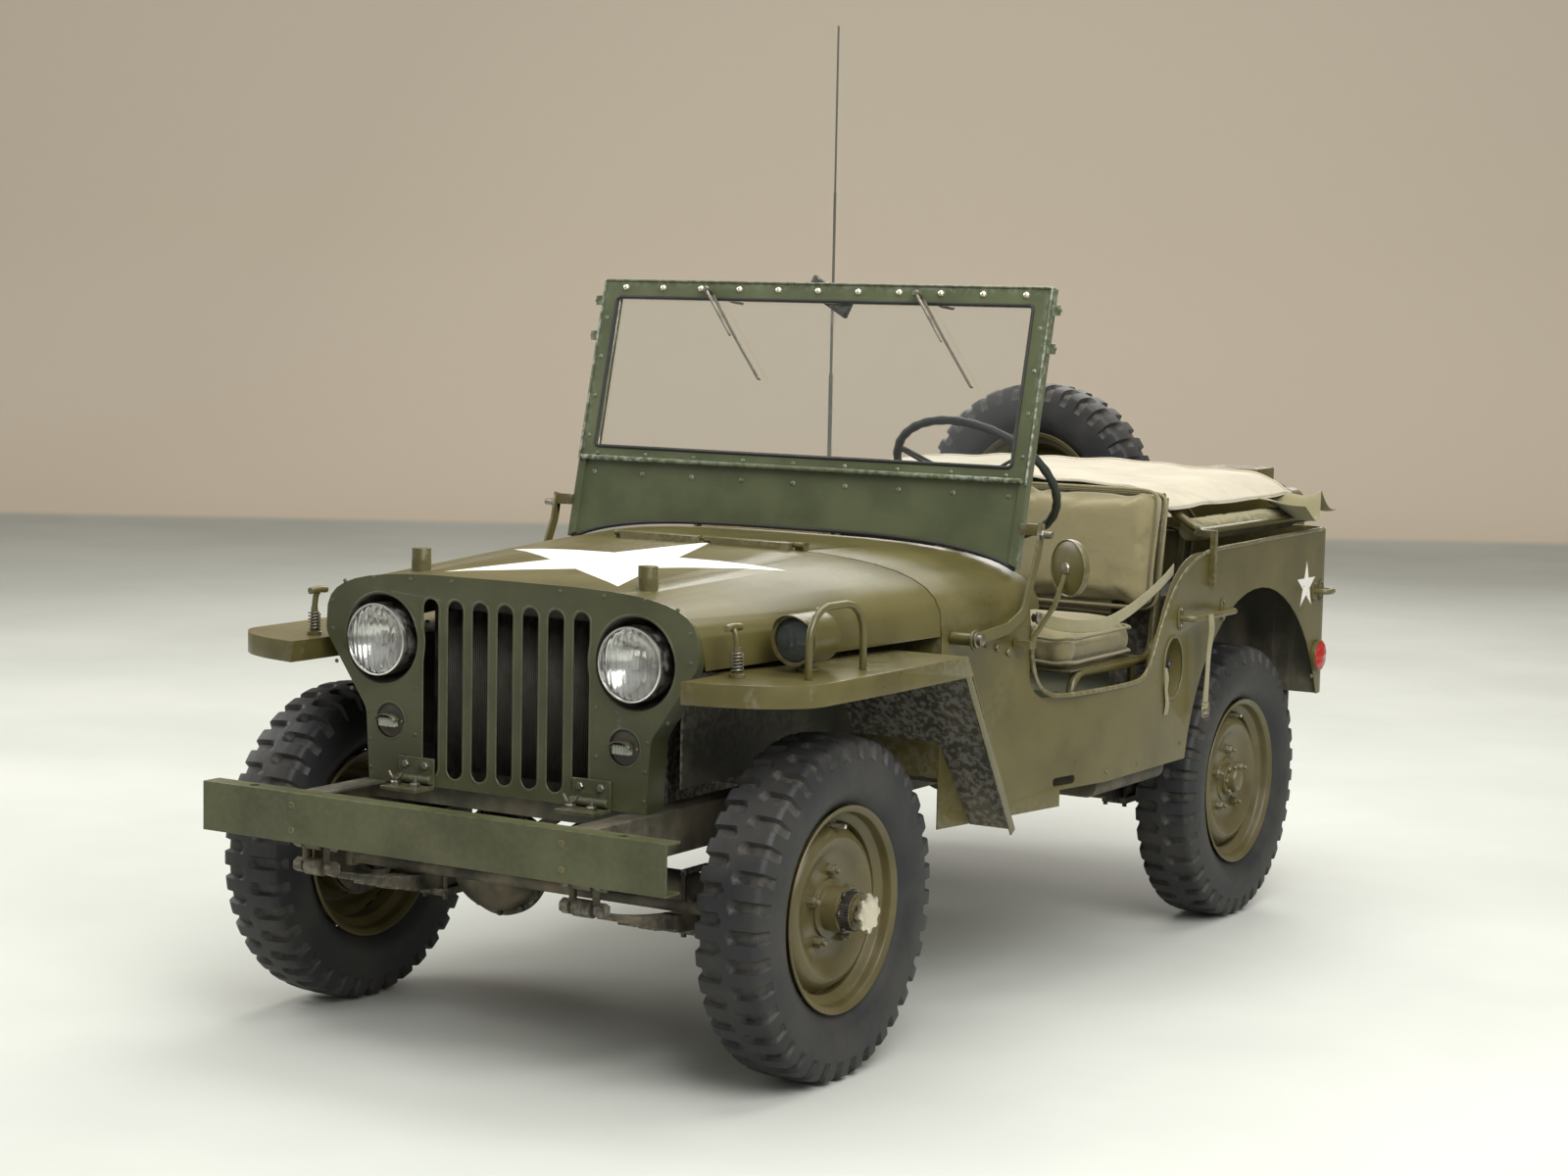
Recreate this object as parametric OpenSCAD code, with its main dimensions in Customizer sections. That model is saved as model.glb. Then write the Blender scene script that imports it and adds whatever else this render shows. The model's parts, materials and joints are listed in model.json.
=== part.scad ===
// Light open 4x4 utility car, in millimetres.
// X runs to the car's left, Y to its rear and Z up. The origin is on the ground under its middle.
// Stations (s) are measured rearwards from the front axle line, and drawing heights (z) from the
// ground line of a car on its standard tyres. car() carries both into the frame of the model.

/* [Overall] */
// Distance between the front and rear axle lines
wheelbase = 2032; // [1960:1:2450]
// From the car's middle to the middle plane of a wheel
half_track = 616; // [600:1:700]
// Half the width of the tub
body_half = 725; // [705:1:880]
// How far the bumper's face stands ahead of the front axle
front_overhang = 519; // [500:1:640]
// How far the rear panel stands behind the rear axle
tail_length = 503; // [490:1:640]
// Outer radius of the tyres
tyre_r = 357; // [330:1:430]

/* [Tyres and wheels] */
// Width of the tyres
tyre_w = 165; // [140:1:180]
// Radius of the rim's flange
flange_r = 218; // [212:1:224]
// Half the width across the rim's flanges
rim_half = 64; // [58:1:68]
// Thickness of the wheel's pressed steel
wheel_steel = 5; // [4:0.5:7]
// Radius of the axle's stub in the wheel's hub
stub_r = 25; // [20:1:30]
// How far the kingpin stands inboard of the wheel's middle plane
kingpin_inset = 71; // [66:1:80]

/* [Frame] */
// Depth of the frame's side rails
rail_h = 92; // [80:1:110]
// Width of the side rails
rail_w = 60; // [50:1:70]
// From the car's middle to the outer face of a side rail
rail_x = 375; // [370:1:380]
// How much higher the rails lie over the rear axle
kick = 60; // [45:1:75]
// Thickness of the frame's steel
rail_steel = 5; // [4:0.5:7]
// Half the length of the front bumper
bumper_half = 590; // [520:1:700]
// Height of the front bumper
bumper_h = 104; // [100:1:130]
// Radius of the towing holes in the bumper's flanges
tow_r = 11; // [8:0.5:14]
// Half the length of a front spring
front_spring = 440; // [420:1:450]
// Half the length of a rear spring
rear_spring = 455; // [420:1:465]
// Number of leaves in a spring
leaves = 5; // [3:1:7]
// Thickness of a spring's leaf
leaf_t = 7; // [5:0.5:8]

/* [Tub] */
// Thickness of the tub's sheet steel
sheet = 3; // [2:0.5:5]
// Half the width of the cowl's front end
cowl_half = 612; // [600:1:625]
// Station of the front edge of the door openings
door_front = 826; // [800:1:850]
// Height of the sill under the door openings
door_sill = 698; // [670:1:730]
// Height of the tub's top rail
top_rail = 985; // [960:1:1010]
// Radius of the tub's rear corners
corner_r = 85; // [60:1:110]
// From the car's middle to the inner wall of a wheel box
box_wall = 520; // [505:1:528]

/* [Front] */
// Widest half width of the grille
grille_half = 481; // [475:1:490]
// Number of slots in the grille
slots = 7; // [5:2:7]
// Distance from one slot to the next
slot_pitch = 65; // [58:1:68]
// Width of a slot
slot_w = 46; // [40:1:50]
// Radius of the headlamp openings
lamp_hole_r = 99.5; // [94:0.5:103]
// From the car's middle to the middle of a headlamp
lamp_x = 328; // [320:1:340]
// From the car's middle to the outer edge of a front fender
fender_half = 745; // [735:1:800]
// Depth of the fender's lip
lip = 45; // [35:1:60]

/* [Windscreen] */
// Half the width of the windscreen
screen_half = 627; // [610:1:640]
// How far the windscreen leans back, in degrees
screen_lean = 13.5; // [8:0.5:16]
// Height of the glazed frame, measured along the windscreen
screen_h = 458; // [400:1:500]
// Width of the windscreen's frame bars
screen_bar = 45; // [36:1:55]

/* [Seats] */
// From the car's middle to the middle of a front seat
seat_x = 465; // [440:1:475]
// Half the width of a front seat
seat_half = 205; // [180:1:215]
// Thickness of a seat cushion
cushion_t = 85; // [60:1:100]
// Radius of the steering wheel's rim, to the middle of its grip
steering_r = 203; // [180:1:210]

/* [Rear load] */
// From the car's middle to the middle of the spare wheel
spare_x = 280; // [270:1:340]
// Height of the middle of the spare wheel
spare_z = 998; // [960:1:1020]
// Height of the antenna's tip
antenna_top = 2380; // [1600:1:2600]

/* [Hidden] */
$fn = 48;

// Clearances
run_gap = 0.05;    // a shaft in its bore, on the radius
seat_gap = 0.3;    // between pieces that rest on each other
move_gap = 6;      // between pieces that pass each other
hood_seam = 2;     // round the closed hood

// Paint and material colours
olive = [0.33, 0.30, 0.18];
dark_olive = [0.22, 0.21, 0.13];
khaki = [0.56, 0.51, 0.36];
cream = [0.80, 0.76, 0.64];
rubber = [0.10, 0.10, 0.10];
steel = [0.55, 0.56, 0.56];

// The drawing's datum and the places that follow from it
axle_z = 357;                                   // height of the axle lines in the drawing
body_end = wheelbase + tail_length;             // outer face of the rear panel
spare_s = body_end + 200;                       // middle plane of the spare wheel
overall = front_overhang + spare_s + tyre_w / 2;
front_axle_y = front_overhang - overall / 2;    // where the front axle lies in the model

// Frame
rail_bottom = 461;
rail_top = rail_bottom + rail_h;
rear_rail_top = rail_top + kick;
rail_mid_x = rail_x - rail_w / 2;
rail_front = 5 - front_overhang;                // against the inside of the bumper's face
rail_end = body_end - sheet - 1;
kick_start = wheelbase - 475;
kick_end = kick_start + 140;
bumper_bottom = rail_bottom - 6;

// Springs and axles
tube_r = 34;                                    // axle tubes
spring_top = axle_z - tube_r - 1;
front_camber = 70;
rear_camber = 80;
eye_r = 18;
eye_pin_r = 9;
shackle_h = 52;
shackle_bar_r = 8;
diff_x = -190;                                  // both differentials lie right of the middle
diff_r = 112;
kingpin_x = half_track - kingpin_inset;
ball_r = 55;
ball_flat = 28;                                 // the ball's flat, clear of the cup at full lock
kingpin_r = 12;
arm_s = -150;                                   // the steering arm's eye, ahead of the kingpin
arm_x = kingpin_x - 53;
arm_z = axle_z + 14;                            // underside of the steering arm
drum_r = 125;

// Cowl and hood, both on one crowned section: [station, half width, height of crown, power]
hood_front = -248;
hood_rear = 505;
cowl_front = 512;
cowl_rear = 858;
crown_foot = 870;                               // where the crowned part meets the straight side
hood_front_section = [grille_half - 3, 1001, 3.85];
hood_rear_section = [cowl_half, 1036, 3.25];
bend_s = wheelbase - 902;                       // where the tapered sides become straight
taper = atan((body_half - cowl_half) / (bend_s - cowl_front));
cowl_rear_section = [cowl_half + (cowl_rear - cowl_front) * tan(taper), 1041, 3.25];
hood_hinge = [508, 1045];                       // [station, height]
hood_reach = norm([hood_front - hood_hinge[0], hood_front_section[1] - hood_hinge[1]]);
hinge_half = 250;
hinge_pin_r = 3;

// Tub
sill_bottom = 478;
tail_bottom = 548;
floor_z = rail_top;
rear_floor_z = rear_rail_top;
floor_step = kick_start;
tunnel_half = 178;
tunnel_top = 640;
box_top = 880;
arch = [wheelbase - 17, 370, 452, 500];         // [station, height, half length, rise]
recess = [wheelbase - 542, 713, 55, 76];        // tool recess: [station, height, half sizes]

// Windscreen, in its own plane from the foot of the glazed frame
screen_foot = [882, 1184];                      // [station, height]
screen_t = 26;
screen_pivot = [545, 862];                      // [station, height]
pivot_r = 8;
arm_t = 6;
arm_face = side_x(770) + 14;                    // inner face of the windscreen's arms
pane_t = 5;

// Steering
wheel_hub = [360, 1127, 1173];                  // [x, station, height]
column_tilt = 45;                               // the column's rise, in degrees
column_r = 20;

// Seats
seat_front = wheelbase - 1002;
seat_rear = wheelbase - 602;
seat_pan_z = 742;
back_lean = 10;
back_t = 62;
seat_tube_r = 12;

// Canvas and bows
bow_r = 11;
bow_front = wheelbase - 337;
bow_rear = wheelbase + 400;
bow_z = 1030;
bow_x = body_half - 35;
cover_t = 16;

// ---- Geometry helpers ----

function unit(v) = v / norm(v);

// Half width of the tub's outer face at a station: tapered ahead of the bend, straight behind it
function side_x(s) = s >= bend_s ? body_half : cowl_half + (s - cowl_front) * tan(taper);

// Points of an arc of radius r that rounds the corner p between its neighbours a and b
function corner(a, p, b, r, n = 6) = r <= 0 ? [p] : let (
  u = unit(a - p), v = unit(b - p), half = acos(u * v) / 2,
  centre = p + unit(u + v) * r / sin(half),
  from = p + u * r / tan(half) - centre, to = p + v * r / tan(half) - centre,
  sweep = 180 - 2 * half)
  [for (k = [0 : n]) centre + (sin((1 - k / n) * sweep) * from + sin(k / n * sweep) * to) / sin(sweep)];

// Closed outline from corners [x, y, radius]
function outline(c, n = 6) = let (m = len(c), p = [for (q = c) [q[0], q[1]]])
  [for (i = [0 : m - 1]) each corner(p[(i + m - 1) % m], p[i], p[(i + 1) % m], c[i][2], n)];

// Open path through the points, each inner corner rounded to radius r
function bend(p, r, n = 4) = let (last = len(p) - 1)
  [for (i = [0 : last]) each (i == 0 || i == last) ? [p[i]] : corner(p[i - 1], p[i], p[i + 1], r, n)];

// Strip of thickness t to the right of an open 2D path
function strip(p, t) = let (last = len(p) - 1,
  along = [for (i = [0 : last]) unit(p[min(i + 1, last)] - p[max(i - 1, 0)])],
  inner = [for (i = [0 : last]) p[i] + t * [along[i][1], -along[i][0]]])
  concat(p, [for (i = [last : -1 : 0]) inner[i]]);

// Half of a crowned section, from the left foot over the top to the right foot
// section is [half width, height of crown, power]; inset draws it smaller by the sheet's thickness
function crown(section, inset = 0, n = 20) = let (w = section[0] - inset, h = section[1] - inset - crown_foot)
  [for (k = [0 : n]) let (a = 180 * k / n, q = 2 / section[2])
    [w * sign(cos(a)) * pow(abs(cos(a)), q), crown_foot + h * pow(abs(sin(a)), q)]];

// Height of a crowned section at x
function crown_z(section, x) = crown_foot
  + (section[1] - crown_foot) * pow(1 - pow(min(1, abs(x) / section[0]), section[2]), 1 / section[2]);

module box(x, s, z) translate([x[0], s[0], z[0]]) cube([x[1] - x[0], s[1] - s[0], z[1] - z[0]]);
module rod_x(x, s, z, r) translate([x[0], s, z]) rotate([0, 90, 0]) cylinder(r = r, h = x[1] - x[0]);
module rod_s(x, s, z, r) translate([x, s[1], z]) rotate([90, 0, 0]) cylinder(r = r, h = s[1] - s[0]);
module rod_z(x, s, z, r) translate([x, s, z[0]]) cylinder(r = r, h = z[1] - z[0]);
// Children drawn in (x, z), (s, z) or (x, s), carried along the third direction
module across(s) translate([0, s[1], 0]) rotate([90, 0, 0]) linear_extrude(s[1] - s[0]) children();
module sideways(x) translate([x[0], 0, 0]) rotate([90, 0, 90]) linear_extrude(x[1] - x[0]) children();
module level(z) translate([0, 0, z[0]]) linear_extrude(z[1] - z[0]) children();
module car() translate([0, front_axle_y, tyre_r - axle_z]) children();
module both() { children(); mirror([1, 0, 0]) children(); }

// Round tube along a flat path; flat is the normal of the plane that the path lies in
module tube(path, r, flat, sides = 10) {
  last = len(path) - 1;
  rings = [for (i = [0 : last]) let (
    along = unit(path[min(i + 1, last)] - path[max(i - 1, 0)]), out = cross(along, flat))
    for (k = [0 : sides - 1]) path[i] + r * (cos(360 * k / sides) * flat + sin(360 * k / sides) * out)];
  walls = [for (i = [0 : last - 1], k = [0 : sides - 1]) let (n = (k + 1) % sides)
    [i * sides + k, (i + 1) * sides + k, (i + 1) * sides + n, i * sides + n]];
  caps = [[for (k = [0 : sides - 1]) k], [for (k = [sides - 1 : -1 : 0]) last * sides + k]];
  polyhedron(rings, concat(walls, caps), convexity = 6);
}

// A wheel or tyre is drawn as [offset outboard, radius], spun about the car's X axis
module spun(side, s, x = half_track, z = axle_z)
  translate([side * x, s, z]) mirror([side < 0 ? 1 : 0, 0, 0]) rotate([0, 90, 0]) rotate_extrude() children();

// ---- Frame, springs and axles ----

// Side view of a rail, with its top and bottom brought in by inset
function rail_side(inset) = [
  [rail_front, rail_bottom + inset], [kick_start, rail_bottom + inset],
  [kick_end, rail_bottom + kick + inset], [rail_end, rail_bottom + kick + inset],
  [rail_end, rear_rail_top - inset], [kick_end, rear_rail_top - inset],
  [kick_start, rail_top - inset], [rail_front, rail_top - inset]];

// Boss under a rail that a shackle hangs from, with the web that carries it
module shackle_boss(s, z, rail_foot) {
  rod_x([rail_mid_x - 20, rail_mid_x + 20], s, z, 16);
  box([rail_mid_x - 8, rail_mid_x + 8], [s - 22, s + 22], [z, rail_foot]);
}

// Pair of cheeks that hold a spring's fixed eye
module spring_cheeks(s, z, rail_foot) for (x = [rail_mid_x - 30, rail_mid_x + 24])
  box([x, x + 6], [s - 24, s + 24], [z - 20, rail_foot]);

module chassis_frame() car() color(dark_olive) {
  both() {
    difference() {
      sideways([rail_x - rail_w, rail_x]) polygon(rail_side(0));
      sideways([rail_x - rail_w - 1, rail_x - rail_steel]) polygon(rail_side(rail_steel));
    }
    shackle_boss(-front_spring, spring_top + front_camber + shackle_h, rail_bottom);
    spring_cheeks(front_spring, spring_top + front_camber, rail_bottom);
    spring_cheeks(wheelbase - rear_spring, spring_top + rear_camber, rail_bottom + 45);
    shackle_boss(wheelbase + rear_spring, spring_top + rear_camber + shackle_h, rail_bottom + kick);
    for (s = [640, 940]) box([rail_x, side_x(s) - 60], [s, s + 40], [rail_top - 33, rail_top]);
  }
  inner = rail_x - rail_steel;
  // Cross members: [first station, last station, lowest, highest]
  for (c = [[-235, -120, rail_top - 40, rail_top], [1035, 1110, rail_bottom - 13, rail_bottom + 1],
            [kick_start - 60, kick_start - 10, rail_bottom + 10, rail_top - 10],
            [rail_end - 40, rail_end, rail_bottom + kick, rear_rail_top]])
    box([-inner, inner], [c[0], c[1]], [c[2], c[3]]);
}

module front_bumper() car() color(olive) difference() {
  depth = 49;
  box([-bumper_half, bumper_half], [-front_overhang, depth - front_overhang],
      [bumper_bottom, bumper_bottom + bumper_h]);
  box([-bumper_half - 1, bumper_half + 1], [5 - front_overhang, depth + 1 - front_overhang],
      [bumper_bottom + 5, bumper_bottom + bumper_h - 5]);
  for (x = [-1, 1]) rod_z(x * (bumper_half - 120), 27 - front_overhang,
                          [bumper_bottom - 1, bumper_bottom + bumper_h + 1], tow_r);
}

module rear_bumpers() car() color(olive) both() {
  low = rail_bottom + kick - 62;
  back = body_end + 52;
  sweep_out = [[rail_x - 85, back - 8], [rail_x - 25, back], [rail_x + 175, back], [rail_x + 225, back - 32]];
  level([low, low + 84]) polygon(strip(bend(sweep_out, 40), 8));
  box([rail_x - 40, rail_x - 5], [rail_end, back - 4], [low + 56, low + 84]);
}

module pintle_hook() car() color(olive) {
  z = rail_bottom + kick - 6;
  box([-62, 62], [rail_end, rail_end + 8], [z - 44, z + 30]);
  difference() {
    sideways([-17, 17]) polygon(outline([[rail_end + 4, z - 30, 0], [rail_end + 84, z - 38, 30],
      [rail_end + 92, z + 32, 26], [rail_end + 40, z + 32, 8], [rail_end + 4, z + 22, 0]]));
    rod_x([-20, 20], rail_end + 50, z - 2, 21);
  }
}

// Axle tube with its differential and spring pads, at station s
module axle_body(s, half, nose) {
  rod_x([-half, half], s, axle_z, tube_r);
  for (x = [-1, 1]) box([x * rail_mid_x - 24, x * rail_mid_x + 24], [s - 36, s + 36], [spring_top, axle_z - 20]);
  translate([diff_x, s, axle_z]) {
    sphere(r = diff_r);
    rotate([90, 0, 0]) cylinder(r = diff_r + 10, h = 16, center = true);
    rotate([nose * 90, 0, 0]) cylinder(r = 42, h = diff_r + 58);
  }
}

module front_axle() car() color(dark_olive) difference() {
  union() {
    axle_body(0, kingpin_x, -1);
    for (x = [-1, 1]) translate([x * kingpin_x, 0, axle_z]) sphere(r = ball_r);
  }
  for (x = [-1, 1]) rod_z(x * kingpin_x, 0, [axle_z - ball_r - 1, axle_z + ball_r + 1], kingpin_r + run_gap);
  for (x = [-1, 1]) box([x > 0 ? kingpin_x + ball_flat : -kingpin_x - 90, x > 0 ? kingpin_x + 90 : -kingpin_x - ball_flat],
                        [-90, 90], [axle_z - 90, axle_z + 90]);
}

module rear_axle() car() color(dark_olive) {
  axle_body(wheelbase, half_track - 60, 1);
  both() {
    rod_x([half_track - 61, half_track + 38], wheelbase, axle_z, stub_r);
    rod_x([half_track - 38, half_track - 34], wheelbase, axle_z, drum_r - 5);
  }
}

// Stack of leaves: each is an arc that rises by camber over half its length, clipped shorter than the last
module leaf_pack(half, camber) {
  bend_r = (half * half + camber * camber) / (2 * camber);
  for (i = [0 : leaves - 1]) intersection() {
    translate([0, spring_top + bend_r - i * leaf_t]) difference() {
      circle(r = bend_r, $fn = 360);
      circle(r = bend_r - leaf_t - 0.4, $fn = 360);
    }
    reach = half * (1 - i / (leaves + 1));
    translate([-reach, spring_top - leaves * leaf_t - 10]) square([2 * reach, camber + leaves * leaf_t + 30]);
  }
}

// Spring with its eyes, pins, clamp and one shackle; rear_shackle says which end swings
module spring(s, half, camber, rear_shackle) translate([0, s, 0]) {
  top = spring_top + camber;
  sideways([rail_mid_x - 22, rail_mid_x + 22]) translate([0, -leaf_t - 1]) leaf_pack(half, camber);
  for (e = [-1, 1]) rod_x([rail_mid_x - 22, rail_mid_x + 22], e * half, top, eye_r);
  rod_x([rail_mid_x - 24 + seat_gap, rail_mid_x + 24 - seat_gap], rear_shackle ? -half : half, top, eye_pin_r);
  e = rear_shackle ? half : -half;
  rod_x([rail_mid_x - 38, rail_mid_x + 38], e, top, eye_pin_r);
  for (x = [-1, 1]) {
    bar_x = rail_mid_x + x * (20 + seat_gap + shackle_bar_r);
    rod_z(bar_x, e, [top, top + shackle_h], shackle_bar_r);
    hex = x > 0 ? [bar_x + 4, bar_x + 24] : [bar_x - 24, bar_x - 4];
    for (z = [top, top + shackle_h]) translate([hex[0], e, z]) rotate([0, 90, 0]) cylinder(r = 16, h = 20, $fn = 6);
  }
  low = spring_top - (leaves + 1) * leaf_t;
  box([rail_mid_x - 34, rail_mid_x + 34], [-52, 52], [low - 12, low + 4]);
  for (x = [-1, 1], y = [-1, 1]) rod_z(rail_mid_x + x * 28, y * (tube_r + 9), [low - 20, axle_z + tube_r + 6], 6);
  for (x = [-1, 1]) box([rail_mid_x + x * 28 - 6, rail_mid_x + x * 28 + 6], [-tube_r - 14, tube_r + 14],
                        [axle_z + tube_r + 0.5, axle_z + tube_r + 12]);
}

module leaf_springs() car() color(dark_olive) both() {
  spring(0, front_spring, front_camber, false);
  spring(wheelbase, rear_spring, rear_camber, true);
}

module engine_and_gearbox() car() color(dark_olive) {
  box([-160, 160], [120, 500], [455, 900]);
  for (x = [[-rail_mid_x - 15, -150], [150, rail_mid_x + 15]]) box(x, [180, 230], [rail_top, rail_top + 35]);
  translate([0, 860, 500]) rotate([90, 0, 0]) cylinder(r = 110, h = 370);
  box([-85, 85], [840, 1030], [450, 545]);
  box([-240, 60], [1000, 1110], [rail_bottom + 1, rail_top - 8]);
}

module propeller_shafts() car() color(dark_olive) {
  front_end = [diff_r + 58 + seat_gap, 1000 - seat_gap];
  rear_end = [1110 + seat_gap, wheelbase - diff_r - 58 - seat_gap];
  // [first and last station, height at each end]
  for (p = [[front_end, 395, 500], [rear_end, 500, 395]]) {
    rod_s(diff_x, [p[0][0], p[0][0] + 40], axle_z + (p[1] < p[2] ? 0 : 145), 36);
    rod_s(diff_x, [p[0][1] - 40, p[0][1]], axle_z + (p[1] < p[2] ? 145 : 0), 36);
    a = [diff_x, p[0][0] + 30, axle_z + (p[1] < p[2] ? 0 : 145)];
    b = [diff_x, p[0][1] - 30, axle_z + (p[1] < p[2] ? 145 : 0)];
    tube([a, b], 25, [1, 0, 0], 16);
  }
}

module exhaust() car() color(dark_olive) {
  x = -470;
  z = rail_bottom - 26;
  pipe_r = 19;
  down_x = -(rail_x - rail_w - pipe_r - move_gap);
  rod_s(x, [1010, 1400], z, 58);
  tube(bend([[x, 1011, z], [x, 620, z], [down_x, 540, z], [down_x, 300, z]], 60), pipe_r, [0, 0, 1]);
  // Down pipe from the engine's side
  tube(bend([[down_x, 310, z - pipe_r], [down_x, 310, 590], [-160 - seat_gap, 310, 590]], 45), pipe_r, [0, 1, 0]);
  tube(bend([[x, 1399, z], [x, 1440, z], [-body_half + 20, 1500, z]], 30), 17, [0, 0, 1]);
  box([x - 12, x + 12], [1190, 1220], [z + 50, floor_z - seat_gap]);
  box([x - 12, x + 12], [1330, 1360], [z + 50, floor_z - seat_gap]);
}

module fuel_tank() car() color(dark_olive) {
  side = [[rail_x + 10, floor_z - 122, 30], [body_half - 30, floor_z - 122, 30],
          [body_half - 30, floor_z - seat_gap, 8], [rail_x + 10, floor_z - seat_gap, 8]];
  across([bend_s + 10, wheelbase - 510]) polygon(outline(side));
}

// ---- Nose ----

grille_s = -253;
lamp_z = 858;
marker = [304, 684, 39.5];                      // [x, height, radius]
grille_foot = rail_top + seat_gap;

// Left half of the grille's edge, from its foot to its crown
function grille_path() = let (
  foot = [[360, grille_foot]], low = corner([360, grille_foot], [369, 706], [grille_half, 856], 50),
  high = corner([369, 706], [grille_half, 862], [grille_half, 930], 40),
  arc = [for (q = crown([grille_half, 1004, 3.85])) if (q[0] > 0 && q[1] > 905) q],
  left = concat(foot, low, high, arc))
  concat(left, [[0, 1004]], [for (i = [len(left) - 1 : -1 : 0]) [-left[i][0], left[i][1]]]);

module slot(x) {
  r = slot_w / 2 - 0.1;
  polygon(outline([[x - slot_w / 2, 572, r], [x + slot_w / 2, 572, r],
                   [x + slot_w / 2, 955, r], [x - slot_w / 2, 955, r]]));
}

module grille() car() color(olive) {
  across([grille_s, grille_s + sheet]) difference() {
    polygon(grille_path());
    difference() {
      for (i = [0 : slots - 1]) slot((i - (slots - 1) / 2) * slot_pitch);
      for (x = [-1, 1]) translate([x * lamp_x, lamp_z]) circle(r = lamp_hole_r + 15);
    }
    for (x = [-1, 1]) {
      translate([x * lamp_x, lamp_z]) circle(r = lamp_hole_r);
      translate([x * marker[0], marker[1]]) circle(r = marker[2]);
    }
  }
  // Return flange, ended where the hood's front edge swings past it
  difference() {
    across([grille_s + sheet - 0.5, grille_s + 63]) polygon(strip(grille_path(), -sheet));
    rod_x([-600, 600], hood_hinge[0], hood_hinge[1], hood_reach + hood_seam, $fn = 360);
  }
}

module headlamps() car() color(steel) both() {
  back = grille_s + sheet + seat_gap;
  // Pan behind the opening, from its flange on the grille to its floor: [depth, radius]
  pan = strip([[0, lamp_hole_r + 11], [0, lamp_hole_r + 2], [62, lamp_hole_r - 12], [62, 0.01]], -2.5);
  translate([lamp_x, back, lamp_z]) rotate([-90, 0, 0]) {
    rotate_extrude() polygon([for (p = pan) [max(0, p[1]), p[0]]]);
    translate([0, -9, -10]) cylinder(r = 84, h = 73);
  }
}

module marker_lamps() car() color(dark_olive) both() {
  back = grille_s + sheet + seat_gap;
  rod_s(marker[0], [back, back + 4], marker[1], marker[2] + 9);
  rod_s(marker[0], [back - 16, back + 30], marker[1], marker[2] - 9);
}

module radiator() car() color(dark_olive) box([-240, 240], [-185, -125], [rail_top + seat_gap, 955]);

module hood_skin(inset, s0, s1) hull() {
  // The skin's own ends: narrow at the grille, wide at the cowl
  for (e = [[hood_front_section, s0, s0 + 0.1], [hood_rear_section, s1 - 0.1, s1]]) {
    half = e[0][0] - inset;
    across([e[1], e[2]]) polygon(concat(crown(e[0], inset), [[-half, 850 - inset], [half, 850 - inset]]));
  }
}

module hood() car() color(olive) {
  difference() {
    hood_skin(0, hood_front, hood_rear);
    hood_skin(sheet, hood_front - 1, hood_rear + 1);
    // Lower edge, rising to the rear
    sideways([-700, 700]) polygon([[hood_front - 5, 840], [hood_front - 5, 853], [hood_rear + 5, 868],
                                   [hood_rear + 5, 840]]);
    // Front edge kept inside its swing about the hinge
    difference() {
      box([-700, 700], [hood_front - 60, hood_front + 60], [840, 1010]);
      rod_x([-701, 701], hood_hinge[0], hood_hinge[1], hood_reach, $fn = 360);
    }
  }
  for (x = [-1, 1]) rod_z(x * 294.5, -162, [992, 1048], 20.5);
  both() difference() {
    union() {
      rod_x([20, hinge_half - 20], hood_hinge[0], hood_hinge[1], hinge_pin_r + 3.5);
      box([20, hinge_half - 20], [hood_hinge[0] - 22, hood_hinge[0] - 3], [1032, hood_hinge[1] + 5]);
    }
    rod_x([10, hinge_half], hood_hinge[0], hood_hinge[1], hinge_pin_r + run_gap);
  }
}

// Plan of a front fender's top, left side
fender_front = -345;
fender_rear = 388;
fender_top = 846;
function fender_plan(inset) = outline([
  [rail_x + 18 + inset, grille_s + 72, 0], [grille_half + 16 + inset, grille_s + 72, 0],
  [grille_half + 20 + inset, fender_front + inset, 0],
  [fender_half - 12 - inset, fender_front + 50 + inset, 95 - inset],
  [fender_half - inset, 60, 0], [fender_half - inset, fender_rear + 40, 0], [rail_x + 18 + inset, fender_rear + 40, 0]]);

// Foot of the panel that slopes down behind the wheel, as [station, height]
slope_foot = [628, 440];

module front_fenders() car() color(olive) both() difference() {
  union() {
    // Top plate with its rolled lip
    level([fender_top - sheet, fender_top]) polygon(fender_plan(0));
    difference() {
      level([fender_top - lip, fender_top - 1]) polygon(fender_plan(0));
      level([fender_top - lip - 1, fender_top]) polygon(fender_plan(sheet));
      box([0, fender_half - 15], [-100, 700], [0, 900]);
      box([0, grille_half + 19], [-600, 700], [0, 900]);
    }
    // Sloping rear panel with its edge flange
    sideways([rail_x + 18, fender_half]) polygon(strip([[fender_rear, fender_top], slope_foot], sheet));
    sideways([fender_half - sheet, fender_half])
      polygon(strip([[fender_rear - 8, fender_top - 2], slope_foot], 22));
    // Inner apron beside the engine
    box([rail_x + 18, rail_x + 21], [grille_s + 72, cowl_front - 4], [600, fender_top - 1]);
  }
  // Trimmed to the sloping panel, the cowl's front and the tapered tub
  sideways([0, 900]) polygon([[fender_rear, fender_top + 1], slope_foot + [0, -1], [800, 400], [800, 900]]);
  level([300, 900]) polygon([[0, cowl_front - 3], [cowl_half + seat_gap, cowl_front - 3],
                             [side_x(900) + seat_gap, 900], [0, 900]]);
}

module blackout_lamp() car() color(olive) {
  x = 600;
  s = -37;
  foot = fender_top + seat_gap;
  rod_s(x, [s - 42, s + 48], 913, 52);
  rod_z(x, s + 5, [foot, 880], 13);
  rod_z(x, s + 5, [foot, foot + 6], 24);
  guard = bend([[x + 78, s - 118, foot], [x + 78, s - 118, 986], [x + 78, s + 95, 986], [x + 78, s + 95, foot]], 70);
  tube(guard, 8, [1, 0, 0]);
}

// ---- Tub ----

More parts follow.
